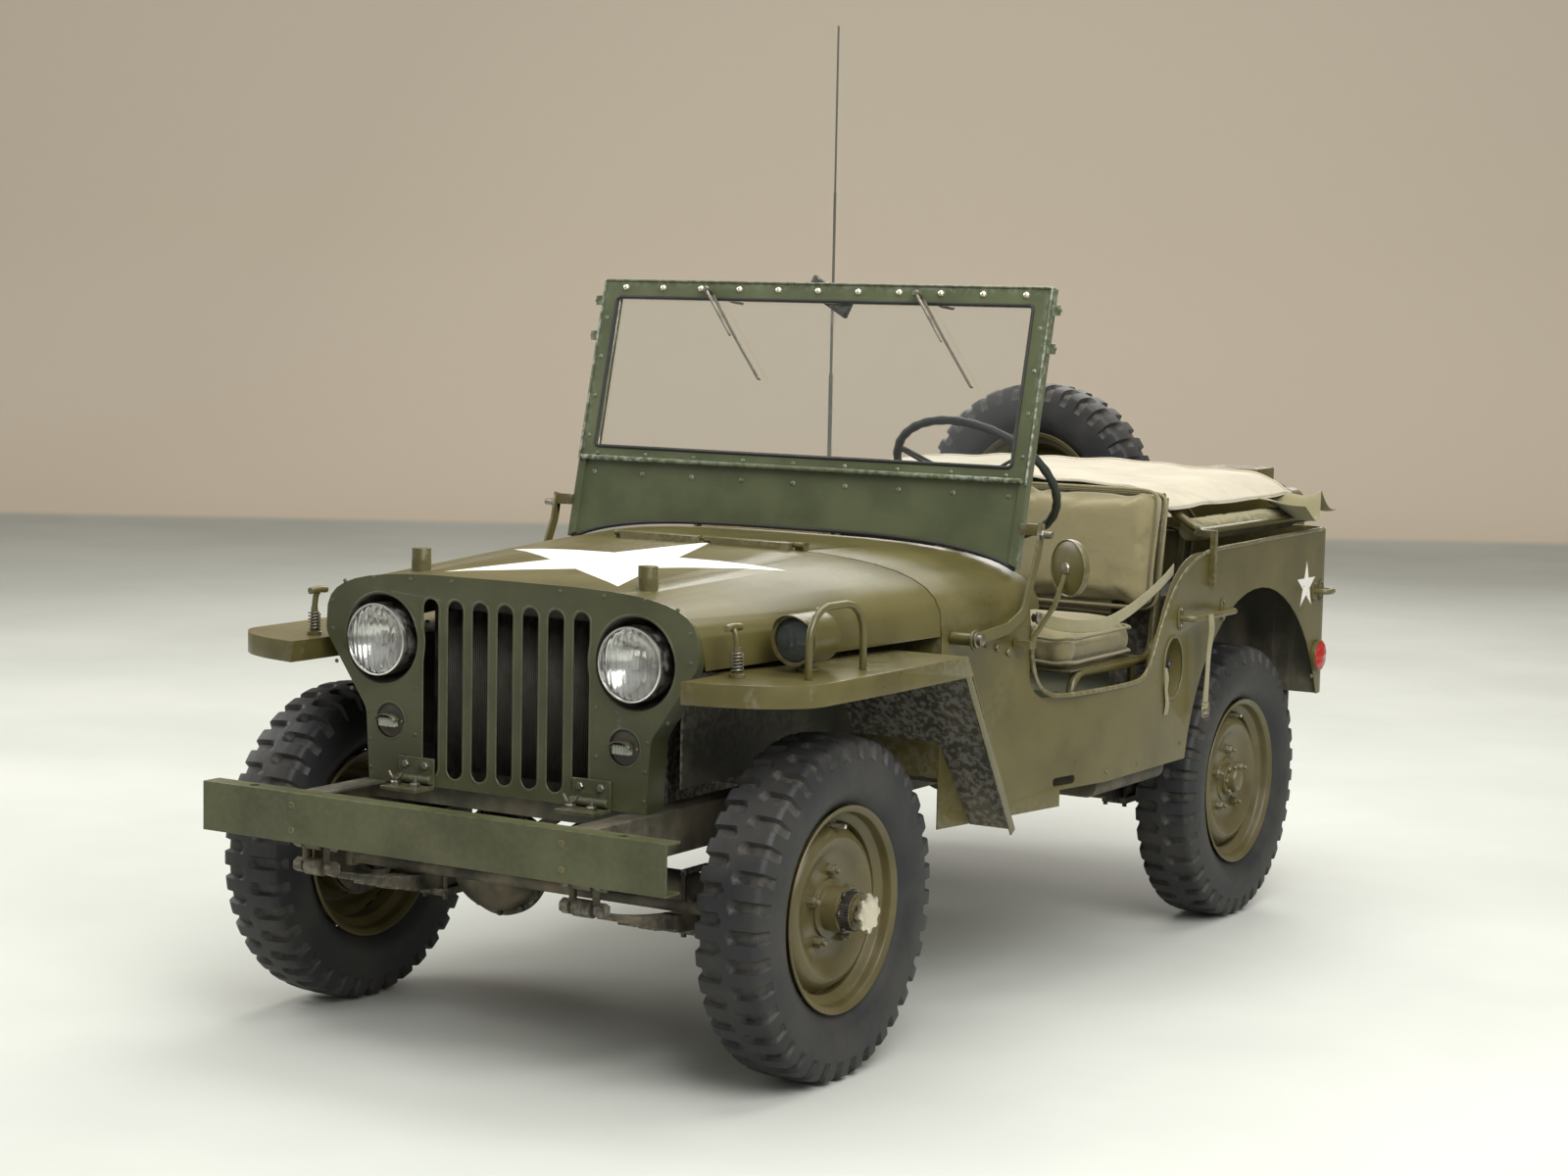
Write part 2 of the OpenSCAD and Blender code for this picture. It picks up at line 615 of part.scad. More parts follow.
module tunnel_section(inset) {
  half = tunnel_half - inset;
  top = tunnel_top - inset;
  polygon(outline([[-half, floor_z - inset / 3, 0], [-half, top, 60], [half, top, 60], [half, floor_z - inset / 3, 0]]));
}

module floor_pan() car() color(olive) {
  edge = sheet + 1;
  difference() {
    level([floor_z, floor_z + sheet]) polygon([
      [-side_x(cowl_front + 8) + edge, cowl_front + 4], [side_x(cowl_front + 8) - edge, cowl_front + 4],
      [body_half - edge, bend_s + 4], [body_half - edge, floor_step], [-body_half + edge, floor_step],
      [-body_half + edge, bend_s + 4]]);
    box([-tunnel_half + sheet, tunnel_half - sheet], [cowl_front, 1000], [floor_z - 1, floor_z + sheet + 1]);
  }
  // Tunnel over the gearbox
  difference() {
    across([cowl_front + 4, 1003]) tunnel_section(0);
    across([cowl_front + 3, 1000]) tunnel_section(sheet);
  }
  // Step up to the rear floor, and the rear floor between the wheel boxes
  box([-body_half + edge, body_half - edge], [floor_step - sheet, floor_step], [floor_z, rear_floor_z + sheet]);
  box([-box_wall + seat_gap, box_wall - seat_gap], [floor_step - 1, body_end - sheet - seat_gap],
      [rear_floor_z, rear_floor_z + sheet]);
}

// Wheel arch from its front foot to its rear foot
function arch_edge(n = 22) = let (
  a0 = asin((sill_bottom - arch[1]) / arch[3]), a1 = 180 - asin((tail_bottom - arch[1]) / arch[3]))
  [for (k = [0 : n]) let (a = a0 + (a1 - a0) * k / n) [arch[0] - arch[2] * cos(a), arch[1] + arch[3] * sin(a)]];

// Plan of a side's outer face, from the cowl round the rear corner
function side_plan(n = 8) = concat([[cowl_half, cowl_front], [body_half, bend_s]],
  [for (k = [0 : n]) let (a = 90 * k / n)
    [body_half - corner_r + corner_r * cos(a), body_end - corner_r + corner_r * sin(a)]]);

// Side view of the whole panel, as [station, height]
function side_edge() = outline(concat(
  [[cowl_front - 5, 440, 0], [950, 440, 0], [950, sill_bottom, 0]],
  [for (q = arch_edge()) [q[0], q[1], 0]],
  [[body_end + 1, tail_bottom, 0], [body_end + 1, top_rail + 13, 0], [wheelbase - 72, top_rail + 6, 0],
   [wheelbase - 537, top_rail, 220], [wheelbase - 707, door_sill, 45], [door_front, door_sill, 62],
   [door_front, crown_foot - seat_gap, 0], [cowl_front - 5, crown_foot - seat_gap, 0]]));

module oval(a, b) polygon([for (k = [0 : 35]) [a * cos(10 * k), b * sin(10 * k)]]);

module body_sides() car() color(olive) both() {
  difference() {
    level([430, 1010]) polygon(strip(side_plan(), -sheet));
    sideways([500, 900]) difference() {
      translate([0, 400]) square([3000, 700]);
      polygon(side_edge());
    }
    // Strap slot in the sill flange, and the tool recess
    sideways([500, 900]) {
      polygon(outline([[923, 488, 9], [1007, 488, 9], [1007, 508, 9], [923, 508, 9]]));
      translate([recess[0], recess[1]]) oval(recess[2], recess[3]);
    }
  }
  // Pan of the tool recess
  difference() {
    sideways([body_half - 48, body_half - 1]) translate([recess[0], recess[1]]) oval(recess[2] + 2, recess[3] + 2);
    sideways([body_half - 46, body_half + 1]) translate([recess[0], recess[1]]) oval(recess[2], recess[3]);
  }
  // Windscreen pivot pin with its boss
  rod_x([side_x(screen_pivot[0]) - 1, arm_face + arm_t + 4], screen_pivot[0], screen_pivot[1], pivot_r);
  rod_x([side_x(screen_pivot[0] + 14) + seat_gap, arm_face - 2], screen_pivot[0], screen_pivot[1], 14);
}

module rear_panel() car() color(olive) {
  half = body_half - corner_r - 2 * seat_gap;
  box([-half, half], [body_end - sheet, body_end], [tail_bottom, top_rail + 13]);
}

module wheel_boxes() car() color(olive) both() {
  out = body_half - sheet - seat_gap;
  rear = body_end - corner_r;
  box([box_wall, box_wall + sheet], [floor_step + 1, rear], [rail_bottom + kick, box_top]);
  box([box_wall, out], [floor_step + 1, rear], [box_top - sheet, box_top]);
  box([box_wall, out], [floor_step + 1, floor_step + 1 + sheet], [sill_bottom, box_top]);
  box([box_wall, out - 4], [rear - sheet, rear], [tail_bottom, box_top]);
}

module cowl_skin(inset) hull() {
  across([cowl_front, cowl_front + 0.1]) polygon(crown(hood_rear_section, inset));
  across([cowl_rear - 0.1, cowl_rear]) polygon(crown(cowl_rear_section, inset));
}

module cowl() car() color(olive) {
  difference() {
    cowl_skin(0);
    difference() {
      translate([0, 0, -1]) cowl_skin(sheet - 1);
      // The firewall at the front and the instrument panel at the back stay solid
      box([-900, 900], [cowl_front - 1, cowl_front + sheet], [800, 1100]);
      box([-900, 900], [cowl_rear - 24, cowl_rear - 24 + sheet], [900, 1100]);
    }
    // Room for the steering column under the instrument panel
    box([wheel_hub[0] - 32, wheel_hub[0] + 32], [cowl_rear - 30, cowl_rear - 15], [900, 918]);
    // Rear edge stepped forward above the door openings
    box([-900, 900], [door_front, cowl_rear + 1], [crown_foot - 1, 905]);
  }
  wall = cowl_half - sheet / cos(taper) - seat_gap;
  difference() {
    box([-wall, wall], [cowl_front, cowl_front + sheet], [floor_z + sheet + seat_gap, crown_foot + 1]);
    box([-tunnel_half - 2, tunnel_half + 2], [cowl_front - 1, cowl_front + sheet + 1], [floor_z, tunnel_top + 2]);
  }
  // Hood hinge: pin and its lugs
  rod_x([-hinge_half, hinge_half], hood_hinge[0], hood_hinge[1], hinge_pin_r);
  for (x = [-hinge_half + 5, 0, hinge_half - 5]) {
    rod_x([x - 12, x + 12], hood_hinge[0], hood_hinge[1], hinge_pin_r + 3.5);
    box([x - 12, x + 12], [hood_hinge[0] + 1, hood_hinge[0] + 22], [1030, hood_hinge[1] + 5]);
  }
}

// ---- Windscreen ----

// Places children drawn in the windscreen's plane: x, height along it, and depth from its front face
module screen() translate([0, screen_foot[0], screen_foot[1]]) rotate([-screen_lean, 0, 0])
  translate([0, screen_t / 2, 0]) children();

// Height along the windscreen at which its foot clears the cowl, at x
function screen_low(x) = (crown_z(cowl_rear_section, x) + move_gap - screen_foot[1]) / cos(screen_lean) + 1;

module windscreen_frame() car() color(olive) screen() {
  inner = screen_half - screen_bar;
  across([-screen_t, 0]) difference() {
    translate([-screen_half, 0]) square([2 * screen_half, screen_h]);
    translate([-inner, 34]) square([2 * inner, screen_h - 34 - screen_bar]);
  }
  // Panel below the glass, its foot following the cowl's crown
  foot = [for (k = [0 : 20]) let (x = screen_half - 6 - k * (screen_half - 6) / 10) [x, screen_low(x)]];
  across([-15, -11]) polygon(concat([[-screen_half + 6, 1], [screen_half - 6, 1]], foot));
  both() across([-24, -2]) polygon([[screen_half - 22, 1], [screen_half, 1], [screen_half, -196], [screen_half - 22, -186]]);
}

module windscreen_glass() car() color(steel) screen() {
  inner = screen_half - screen_bar - seat_gap;
  across([-screen_t / 2 - pane_t / 2, -screen_t / 2 + pane_t / 2]) translate([-inner, 34 + seat_gap])
    square([2 * inner, screen_h - 34 - screen_bar - 2 * seat_gap]);
}

module windscreen_arms() car() color(olive) both() {
  // Middle line of the arm in side view, from the pivot to the windscreen
  line = bend([screen_pivot, [700, 874], [772, 900], [838, 1035], [852, 1100]], 40);
  wide = 13;
  difference() {
    sideways([arm_face, arm_face + arm_t]) union() {
      polygon(strip(line, wide));
      polygon(strip(line, -wide));
      translate(screen_pivot) circle(r = 22);
    }
    rod_x([arm_face - 1, arm_face + arm_t + 1], screen_pivot[0], screen_pivot[1], pivot_r + run_gap);
  }
  // Lug that joins the arm to the windscreen's side post
  box([screen_half + seat_gap, arm_face + 1], [842, 858], [1072, 1098]);
}

// ---- Controls and seats ----

module along_column() translate(wheel_hub) rotate([column_tilt - 90, 0, 0]) children();

module steering_column() car() color(dark_olive) {
  length = (wheel_hub[2] - floor_z - sheet) / sin(column_tilt) - 30;
  difference() {
    along_column() translate([0, 0, -length - 40]) cylinder(r = column_r, h = length + 40 - 34);
    box([0, 900], [0, 2000], [0, floor_z + sheet + seat_gap]);
    box([0, 900], [0, cowl_front + sheet + seat_gap], [0, 2000]);
  }
  // Steering box on the outside of the left rail
  box([rail_x + seat_gap, rail_x + 58], [400, 520], [rail_bottom + 4, rail_top - 4]);
  // Hand levers beside the tunnel: [x, station, height of the knob]
  for (q = [[-30, 905, 830], [60, 960, 790], [95, 930, 780]]) {
    rod_z(q[0], q[1], [640 + seat_gap, q[2]], 7);
    translate([q[0], q[1], q[2]]) sphere(r = 16);
  }
}

module steering_wheel() car() color(rubber) along_column() {
  rotate_extrude() translate([steering_r, 0]) circle(r = 11, $fn = 24);
  translate([0, 0, -33]) cylinder(r = 26, h = 30);
  for (k = [0 : 2]) rotate([0, 0, 90 + 120 * k]) tube([[10, 0, -16], [60, 0, -14], [steering_r - 4, 0, 0]], 5, [0, 1, 0], 8);
}

// Tubes of one front seat, centred on x = 0: sides, rear legs and the two cross bars
module seat_frame() {
  z = seat_pan_z - seat_tube_r;
  half = seat_half - 16;
  top = [seat_rear + 131.4, 1122];
  for (x = [-half, half]) {
    tube(bend([[x, seat_front + 60, floor_z + sheet + seat_gap + 2], [x, seat_front + 30, z], [x, seat_rear + 78, z],
               [x, top[0], top[1]]], 50), seat_tube_r, [1, 0, 0]);
    rod_z(x, seat_rear - 30, [floor_z + sheet + seat_gap, z], seat_tube_r - 2);
  }
  rod_x([-half, half], top[0], top[1], seat_tube_r);
  box([-half - 8, half + 8], [seat_front + 20, seat_rear + 10], [seat_pan_z - 3, seat_pan_z]);
}

module seat_frames() car() color(dark_olive) both() translate([seat_x, 0, 0]) seat_frame();

module seat_cushions() car() color(khaki) both() {
  z = seat_pan_z + seat_gap;
  level([z, z + cushion_t]) polygon(outline([[seat_x - seat_half, seat_front, 35], [seat_x + seat_half, seat_front, 35],
    [seat_x + seat_half, seat_rear, 25], [seat_x - seat_half, seat_rear, 25]]));
}

module seat_backrests() car() color(khaki) both()
  translate([seat_x, seat_rear + 10, 862]) rotate([-back_lean, 0, 0])
    across([0, back_t]) polygon(outline([[-seat_half, 0, 25], [seat_half, 0, 25], [seat_half, 285, 60], [-seat_half, 285, 60]]));

rear_seat_s = wheelbase - 60;
rear_seat_half = 400;
module rear_seat_frame() car() color(dark_olive) {
  pan = rear_floor_z + 150;
  box([-rear_seat_half, rear_seat_half], [rear_seat_s, rear_seat_s + 330], [pan - 4, pan]);
  both() {
    tube(bend([[rear_seat_half - 20, rear_seat_s + 25, rear_floor_z + sheet + seat_gap],
      [rear_seat_half - 20, rear_seat_s + 25, pan - 16], [rear_seat_half - 20, rear_seat_s + 352, pan - 16],
      [rear_seat_half - 20, rear_seat_s + 392, pan + 230]], 30), seat_tube_r, [1, 0, 0]);
    rod_z(rear_seat_half - 20, rear_seat_s + 300, [rear_floor_z + sheet + seat_gap, pan - 16], 9);
  }
}

module rear_seat_pads() car() color(khaki) {
  z = rear_floor_z + 150 + seat_gap;
  level([z, z + 75]) polygon(outline([[-rear_seat_half, rear_seat_s, 30], [rear_seat_half, rear_seat_s, 30],
    [rear_seat_half, rear_seat_s + 325, 20], [-rear_seat_half, rear_seat_s + 325, 20]]));
  translate([0, rear_seat_s + 297, z + 80]) rotate([-9, 0, 0]) across([0, 48])
    polygon(outline([[-rear_seat_half, 0, 25], [rear_seat_half, 0, 25], [rear_seat_half, 150, 30], [-rear_seat_half, 150, 30]]));
}

// ---- Canvas, bows and what is hung on the tub ----

// Line of the cover's underside in cross section, from right to left
cover_line = bend([[-bow_x + 60, 1078], [-bow_x + 120, 1118], [-320, 1140], [0, 1152], [320, 1140],
                   [bow_x - 120, 1118], [bow_x - 60, 1078]], 60);

module top_bows() car() color(olive) {
  for (s = [bow_front + 30, bow_rear - 30])
    tube(bend([[-bow_x, s, bow_z], [-bow_x + 35, s, 1046], [-bow_x + 120, s, 1104], [-320, s, 1128.5],
      [0, s, 1140.8], [320, s, 1128.5], [bow_x - 120, s, 1104], [bow_x - 35, s, 1046], [bow_x, s, bow_z]], 40),
      bow_r, [0, 1, 0]);
  both() {
    rod_s(bow_x, [bow_front, bow_rear], bow_z, bow_r + 0.5);
    // Bracket and post on the tub's side
    box([bow_x, body_half + 14], [bow_front - 7, bow_front + 9], [bow_z - 8, bow_z + 8]);
    box([body_half + seat_gap, body_half + 14], [bow_front - 7, bow_front + 9], [898, bow_z + 8]);
  }
}

module canvas_cover() car() color(cream)
  across([bow_front - 60, bow_rear + 25]) polygon(strip(cover_line, -cover_t));

module canvas_bundles() car() color(khaki) both()
  across([bow_front + 50, bow_rear - 55]) polygon(outline([[bow_x - 82, 1002, 18], [bow_x - 12, 1002, 18],
    [bow_x - 12, 1056, 22], [bow_x - 82, 1062, 22]]));

// Bar handle on a side panel, from s0 to s1, standing off by reach
module side_handle(s0, s1, z, reach, r) {
  x = body_half + seat_gap;
  tube(bend([[x, s0, z], [x + reach, s0, z], [x + reach, s1, z], [x, s1, z]], 18), r, [0, 0, 1]);
}

module grab_handles() car() color(olive) both() {
  side_handle(wheelbase - 512, wheelbase - 252, 832, 38, 8);
  side_handle(body_end - 140, body_end - corner_r - 5, 832, 40, 8);
  near = body_half - corner_r - 20;
  tube(bend([[near, body_end + seat_gap, 612], [near, body_end + 42, 612], [near - 130, body_end + 42, 612],
    [near - 130, body_end + seat_gap, 612]], 18), 8, [0, 0, 1]);
}

module tail_reflectors() car() color("firebrick") both() {
  rod_x([body_half + seat_gap, body_half + 12], body_end - corner_r - 20, 654, 42);
  rod_s(body_half - corner_r - 20, [body_end + seat_gap, body_end + 30], 730, 30);
}

module side_mirror() car() color(olive) {
  foot = side_x(785) + seat_gap;
  box([foot, foot + 42], [755, 785], [824, 842]);
  tube([[foot + 35, 770, 836], [752, 776, 925], [772, 790, 1000]], 6, unit([-1, 8, 0]));
  translate([778, 796, 1009]) rotate([-90, 0, -28]) cylinder(r = 61, h = 12, center = true);
}

module radio_antenna() car() color(dark_olive) {
  x = -body_half - 50;
  s = wheelbase + 303;
  box([x - 24, -body_half - seat_gap], [s - 30, s + 30], [860, 868]);
  box([-body_half - 8, -body_half - seat_gap], [s - 30, s + 30], [780, 868]);
  rod_z(x, s, [868, 905], 24);
  rod_z(x, s, [905, 1120], 12);
  rod_z(x, s, [1120, 1370], 6);
  rod_z(x, s, [1370, 1900], 4);
  rod_z(x, s, [1900, antenna_top], 3);
}

can_x = 400;
can_z = 690;
module jerry_can() car() color(olive) {
  half = 170;
  s0 = body_end + 8;
  across([s0, s0 + 160]) polygon(outline([[can_x - half, can_z, 25], [can_x + half, can_z, 25],
    [can_x + half, can_z + 400, 45], [can_x - half, can_z + 400, 45]]));
  for (k = [0 : 2]) box([can_x - 80, can_x + 80], [s0 + 18 + k * 52, s0 + 38 + k * 52], [can_z + 436, can_z + 454]);
  for (x = [can_x - 80, can_x + 60]) box([x, x + 20], [s0 + 18, s0 + 142], [can_z + 399, can_z + 454]);
}

module rear_carriers() car() color(olive) {
  // Tray of the can, and the band round it
  box([can_x - 185, can_x + 185], [body_end + seat_gap, body_end + 182], [can_z - 8, can_z - seat_gap]);
  both_ends = [[can_x - 185, can_x - 180], [can_x + 180, can_x + 185]];
  for (x = both_ends) box(x, [body_end + seat_gap, body_end + 182], [can_z - 8, can_z + 70]);
  box([can_x - 185, can_x + 185], [body_end + 177, body_end + 182], [can_z - 8, can_z + 70]);
  // Bracket of the spare wheel
  face = spare_s + 26 - wheel_steel - seat_gap;
  for (q = [[-120, -175], [120, -175], [0, -35]]) tube([[-spare_x + q[0], body_end + 5, spare_z + q[1]],
    [-spare_x + q[0] / 3, face - 8, spare_z + q[1] / 3]], 12, [0, 0, 1]);
  rod_s(-spare_x, [face - 12, face], spare_z, 82);
  box([-spare_x - 150, -spare_x + 150], [body_end + seat_gap, body_end + 7], [spare_z - 210, top_rail + 5]);
}

// ---- Wheels and steering ----

function rim_line() = [[rim_half, flange_r - 2], [rim_half - 6, flange_r - 13], [rim_half - 26, flange_r - 17],
  [rim_half - 36, flange_r - 34], [-rim_half + 36, flange_r - 34], [-rim_half + 26, flange_r - 17],
  [-rim_half + 6, flange_r - 13], [-rim_half, flange_r - 2]];
function disc_line() = [[11, flange_r - 35.5], [20, 172], [38, 160], [45, 146], [40, 130], [30, 112], [26, 95], [26, 30]];
function swap(p) = [for (q = p) [q[1], q[0]]];

// Pressed wheel with rim and disc
module wheel_pressing() {
  polygon(swap(strip(rim_line(), -wheel_steel)));
  polygon(swap(strip(disc_line(), wheel_steel)));
}

// Wheel with its hub and drum; bore_end is how deep the stub goes, nose the hub's steps [end, radius]
module running_wheel(side, s, bore_end, nose) spun(side, s) {
  wheel_pressing();
  bore = stub_r + run_gap;
  polygon([[bore, 18], [drum_r, 18], [drum_r, -28], [drum_r - 7, -28], [drum_r - 7, 12], [bore, 12]]);
  translate([bore, 12]) square([nose[0][1] - bore, nose[0][0] - 12]);
  for (i = [1 : len(nose) - 1]) {
    hollow = nose[i][0] <= bore_end;
    translate([hollow ? bore : 0, nose[i - 1][0]]) square([nose[i][1] - (hollow ? bore : 0), nose[i][0] - nose[i - 1][0]]);
  }
}

front_nose = [[34, 62], [72, 47], [98, 38], [112, 31], [128, 38]];
rear_nose = [[30, 58], [42, 42], [60, 28]];

module tyre(side, s, x, z) spun(side, s, x, z) {
  crown_half = tyre_w / 2 - 16;
  bead = rim_half - 7;
  polygon(outline([[flange_r - 12.4, -bead, 0], [flange_r + 3, -bead, 3], [flange_r + 22, -tyre_w / 2 + 6, 14],
    [tyre_r - 62, -tyre_w / 2, 40], [tyre_r - 8, -crown_half - 8, 10], [tyre_r, -crown_half + 20, 30],
    [tyre_r, crown_half - 20, 30], [tyre_r - 8, crown_half + 8, 10], [tyre_r - 62, tyre_w / 2, 40],
    [flange_r + 22, tyre_w / 2 - 6, 14], [flange_r + 3, bead, 3], [flange_r - 12.4, bead, 0]], 3));
}

module knuckle(side) {
  mirror([side < 0 ? 1 : 0, 0, 0]) {
    // Cup round the outboard half of the ball, as [radius, offset from the kingpin]
    in_r = ball_r + 5;
    out_r = ball_r + 17;
    translate([kingpin_x, 0, axle_z]) rotate([0, 90, 0]) rotate_extrude() polygon([[in_r, 8], [out_r, 8],
      [out_r, 42], [in_r - 8, 62], [0, 62], [0, 48], [in_r - 8, 48], [in_r, 40]]);
    for (z = [[in_r, out_r + 7], [-out_r - 7, -in_r]]) rod_z(kingpin_x, 0, axle_z * [1, 1] + z, 22);
    for (z = [[in_r - 18, in_r + 1], [-in_r - 1, -in_r + 18]]) rod_z(kingpin_x, 0, axle_z * [1, 1] + z, kingpin_r);
    // Stub for the hub, and the brake's backing plate
    rod_x([kingpin_x + 55, half_track + 106], 0, axle_z, stub_r);
    difference() {
      rod_x([half_track - 38, half_track - 34], 0, axle_z, drum_r - 5);
      rod_x([half_track - 39, half_track - 33], 0, axle_z, ball_r + 5);
    }
    // Steering arm, forward to its eye
    level([arm_z, arm_z + 16]) polygon(outline([[kingpin_x + 12, -55, 4], [kingpin_x + 42, -48, 4],
      [kingpin_x + 6, -98, 30], [arm_x + 18, arm_s - 14, 12], [arm_x - 18, arm_s - 14, 12], [kingpin_x - 32, -92, 30]]));
  }
}

module tie_rod() car() color(dark_olive) {
  z = arm_z - 20;
  rod_x([-arm_x, arm_x], arm_s, z, 12);
  for (x = [-arm_x, arm_x]) {
    rod_z(x, arm_s, [z - 16, z + 14], 17);
    rod_z(x, arm_s, [z, arm_z - seat_gap], 9);
  }
}

module left_knuckle() car() color(dark_olive) knuckle(1);
module right_knuckle() car() color(dark_olive) knuckle(-1);
module front_left_wheel() car() color(olive) running_wheel(1, 0, 112, front_nose);
module front_right_wheel() car() color(olive) running_wheel(-1, 0, 112, front_nose);
module rear_left_wheel() car() color(olive) running_wheel(1, wheelbase, 42, rear_nose);
module rear_right_wheel() car() color(olive) running_wheel(-1, wheelbase, 42, rear_nose);
module front_left_tyre() car() color(rubber) tyre(1, 0, half_track, axle_z);
module front_right_tyre() car() color(rubber) tyre(-1, 0, half_track, axle_z);
module rear_left_tyre() car() color(rubber) tyre(1, wheelbase, half_track, axle_z);
module rear_right_tyre() car() color(rubber) tyre(-1, wheelbase, half_track, axle_z);

// The spare stands across the car, its dished face to the rear
module stowed() translate([-spare_x, spare_s, spare_z]) rotate([-90, 0, 0]) children();
module spare_wheel() car() color(olive) stowed() rotate_extrude() wheel_pressing();
module spare_tyre() car() color(rubber) stowed() rotate([0, -90, 0]) tyre(1, 0, 0, 0);

chassis_frame();
front_bumper();
rear_bumpers();
pintle_hook();
front_axle();
rear_axle();
leaf_springs();
engine_and_gearbox();
propeller_shafts();
exhaust();
fuel_tank();
radiator();
grille();
headlamps();
marker_lamps();
blackout_lamp();
front_fenders();
floor_pan();
body_sides();
rear_panel();
wheel_boxes();
cowl();
hood();
windscreen_frame();
windscreen_arms();
windscreen_glass();
steering_column();
steering_wheel();
seat_frames();
seat_cushions();
seat_backrests();
rear_seat_frame();
rear_seat_pads();
top_bows();
canvas_cover();
canvas_bundles();
grab_handles();
tail_reflectors();
side_mirror();
radio_antenna();
jerry_can();
rear_carriers();
spare_wheel();
spare_tyre();
tie_rod();
left_knuckle();
right_knuckle();
front_left_wheel();
front_right_wheel();
rear_left_wheel();
rear_right_wheel();
front_left_tyre();
front_right_tyre();
rear_left_tyre();
rear_right_tyre();
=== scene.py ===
"""Looks of a light open 4x4 utility car, built round its fixed frame.

Lengths are metres. X runs to the car's left, Y to its rear and Z up. A station is a distance
behind the front axle, which lies at Places.front.
"""

from __future__ import annotations

import json
import logging
import math
from dataclasses import dataclass, field
from enum import Enum
from functools import lru_cache
from typing import Iterable, Sequence, Union

import bmesh
import bpy
import numpy as np
from mathutils import Matrix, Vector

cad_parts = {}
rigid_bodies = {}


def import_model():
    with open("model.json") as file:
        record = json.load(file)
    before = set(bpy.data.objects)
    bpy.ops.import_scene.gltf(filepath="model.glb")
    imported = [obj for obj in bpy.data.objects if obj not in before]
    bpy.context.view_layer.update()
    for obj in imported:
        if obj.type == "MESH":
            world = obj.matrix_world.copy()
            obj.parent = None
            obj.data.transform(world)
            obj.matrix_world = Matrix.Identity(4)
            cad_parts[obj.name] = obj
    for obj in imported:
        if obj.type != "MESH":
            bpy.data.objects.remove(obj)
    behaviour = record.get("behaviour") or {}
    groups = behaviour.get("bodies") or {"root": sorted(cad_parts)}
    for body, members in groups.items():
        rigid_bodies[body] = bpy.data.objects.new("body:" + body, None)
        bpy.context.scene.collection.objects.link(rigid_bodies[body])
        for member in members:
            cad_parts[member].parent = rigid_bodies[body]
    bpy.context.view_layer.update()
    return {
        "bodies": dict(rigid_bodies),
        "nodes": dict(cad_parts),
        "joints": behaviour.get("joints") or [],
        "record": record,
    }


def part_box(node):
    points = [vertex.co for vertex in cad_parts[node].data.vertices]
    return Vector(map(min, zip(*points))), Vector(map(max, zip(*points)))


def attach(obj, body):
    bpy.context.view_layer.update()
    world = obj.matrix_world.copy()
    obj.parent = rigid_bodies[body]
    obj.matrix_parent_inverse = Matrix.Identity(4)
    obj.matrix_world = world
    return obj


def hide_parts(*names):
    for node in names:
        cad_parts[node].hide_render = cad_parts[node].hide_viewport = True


log = logging.getLogger("utility_car")
Points = np.ndarray
Colour = tuple[float, float, float]
Number = Union["Wire", float]


# ---- Shader maths ----


class Wire:
    """A shader socket on which Python's operators add Math nodes."""

    def __init__(self, graph: "Graph", socket: bpy.types.NodeSocket) -> None:
        """Keeps the socket and the graph that it belongs to.

        Args:
            graph: the material's graph.
            socket: an output socket in it.
        """
        self.graph = graph
        self.socket = socket

    def math(self, operation: str, *others: Number) -> "Wire":
        """Adds a Math node with this wire first.

        Args:
            operation: the node's operation.
            others: its further values.

        Returns:
            The node's result.
        """
        values = dict(enumerate((self, *others)))
        return self.graph.add("ShaderNodeMath", values, operation=operation)

    def __add__(self, other: Number) -> "Wire":
        """Sum."""
        return self.math("ADD", other)

    __radd__ = __add__

    def __sub__(self, other: Number) -> "Wire":
        """Difference."""
        return self.math("SUBTRACT", other)

    def __rsub__(self, other: Number) -> "Wire":
        """Reflected difference."""
        return self.graph.add("ShaderNodeMath", {0: other, 1: self}, operation="SUBTRACT")

    def __mul__(self, other: Number) -> "Wire":
        """Product."""
        return self.math("MULTIPLY", other)

    __rmul__ = __mul__

    def __truediv__(self, other: Number) -> "Wire":
        """Quotient."""
        return self.math("DIVIDE", other)

    def __neg__(self) -> "Wire":
        """Negative."""
        return self.math("MULTIPLY", -1.0)

    def __pow__(self, other: Number) -> "Wire":
        """Power."""
        return self.math("POWER", other)

    def __abs__(self) -> "Wire":
        """Absolute value."""
        return self.math("ABSOLUTE")

    def rise(self, low: float, high: float) -> "Wire":
        """Smooth step from 0 at low to 1 at high.

        Args:
            low: where the step starts.
            high: where it ends; below low it falls instead.

        Returns:
            The step.
        """
        values = {"Value": self, "From Min": low, "From Max": high}
        return self.graph.add("ShaderNodeMapRange", values, interpolation_type="SMOOTHSTEP")


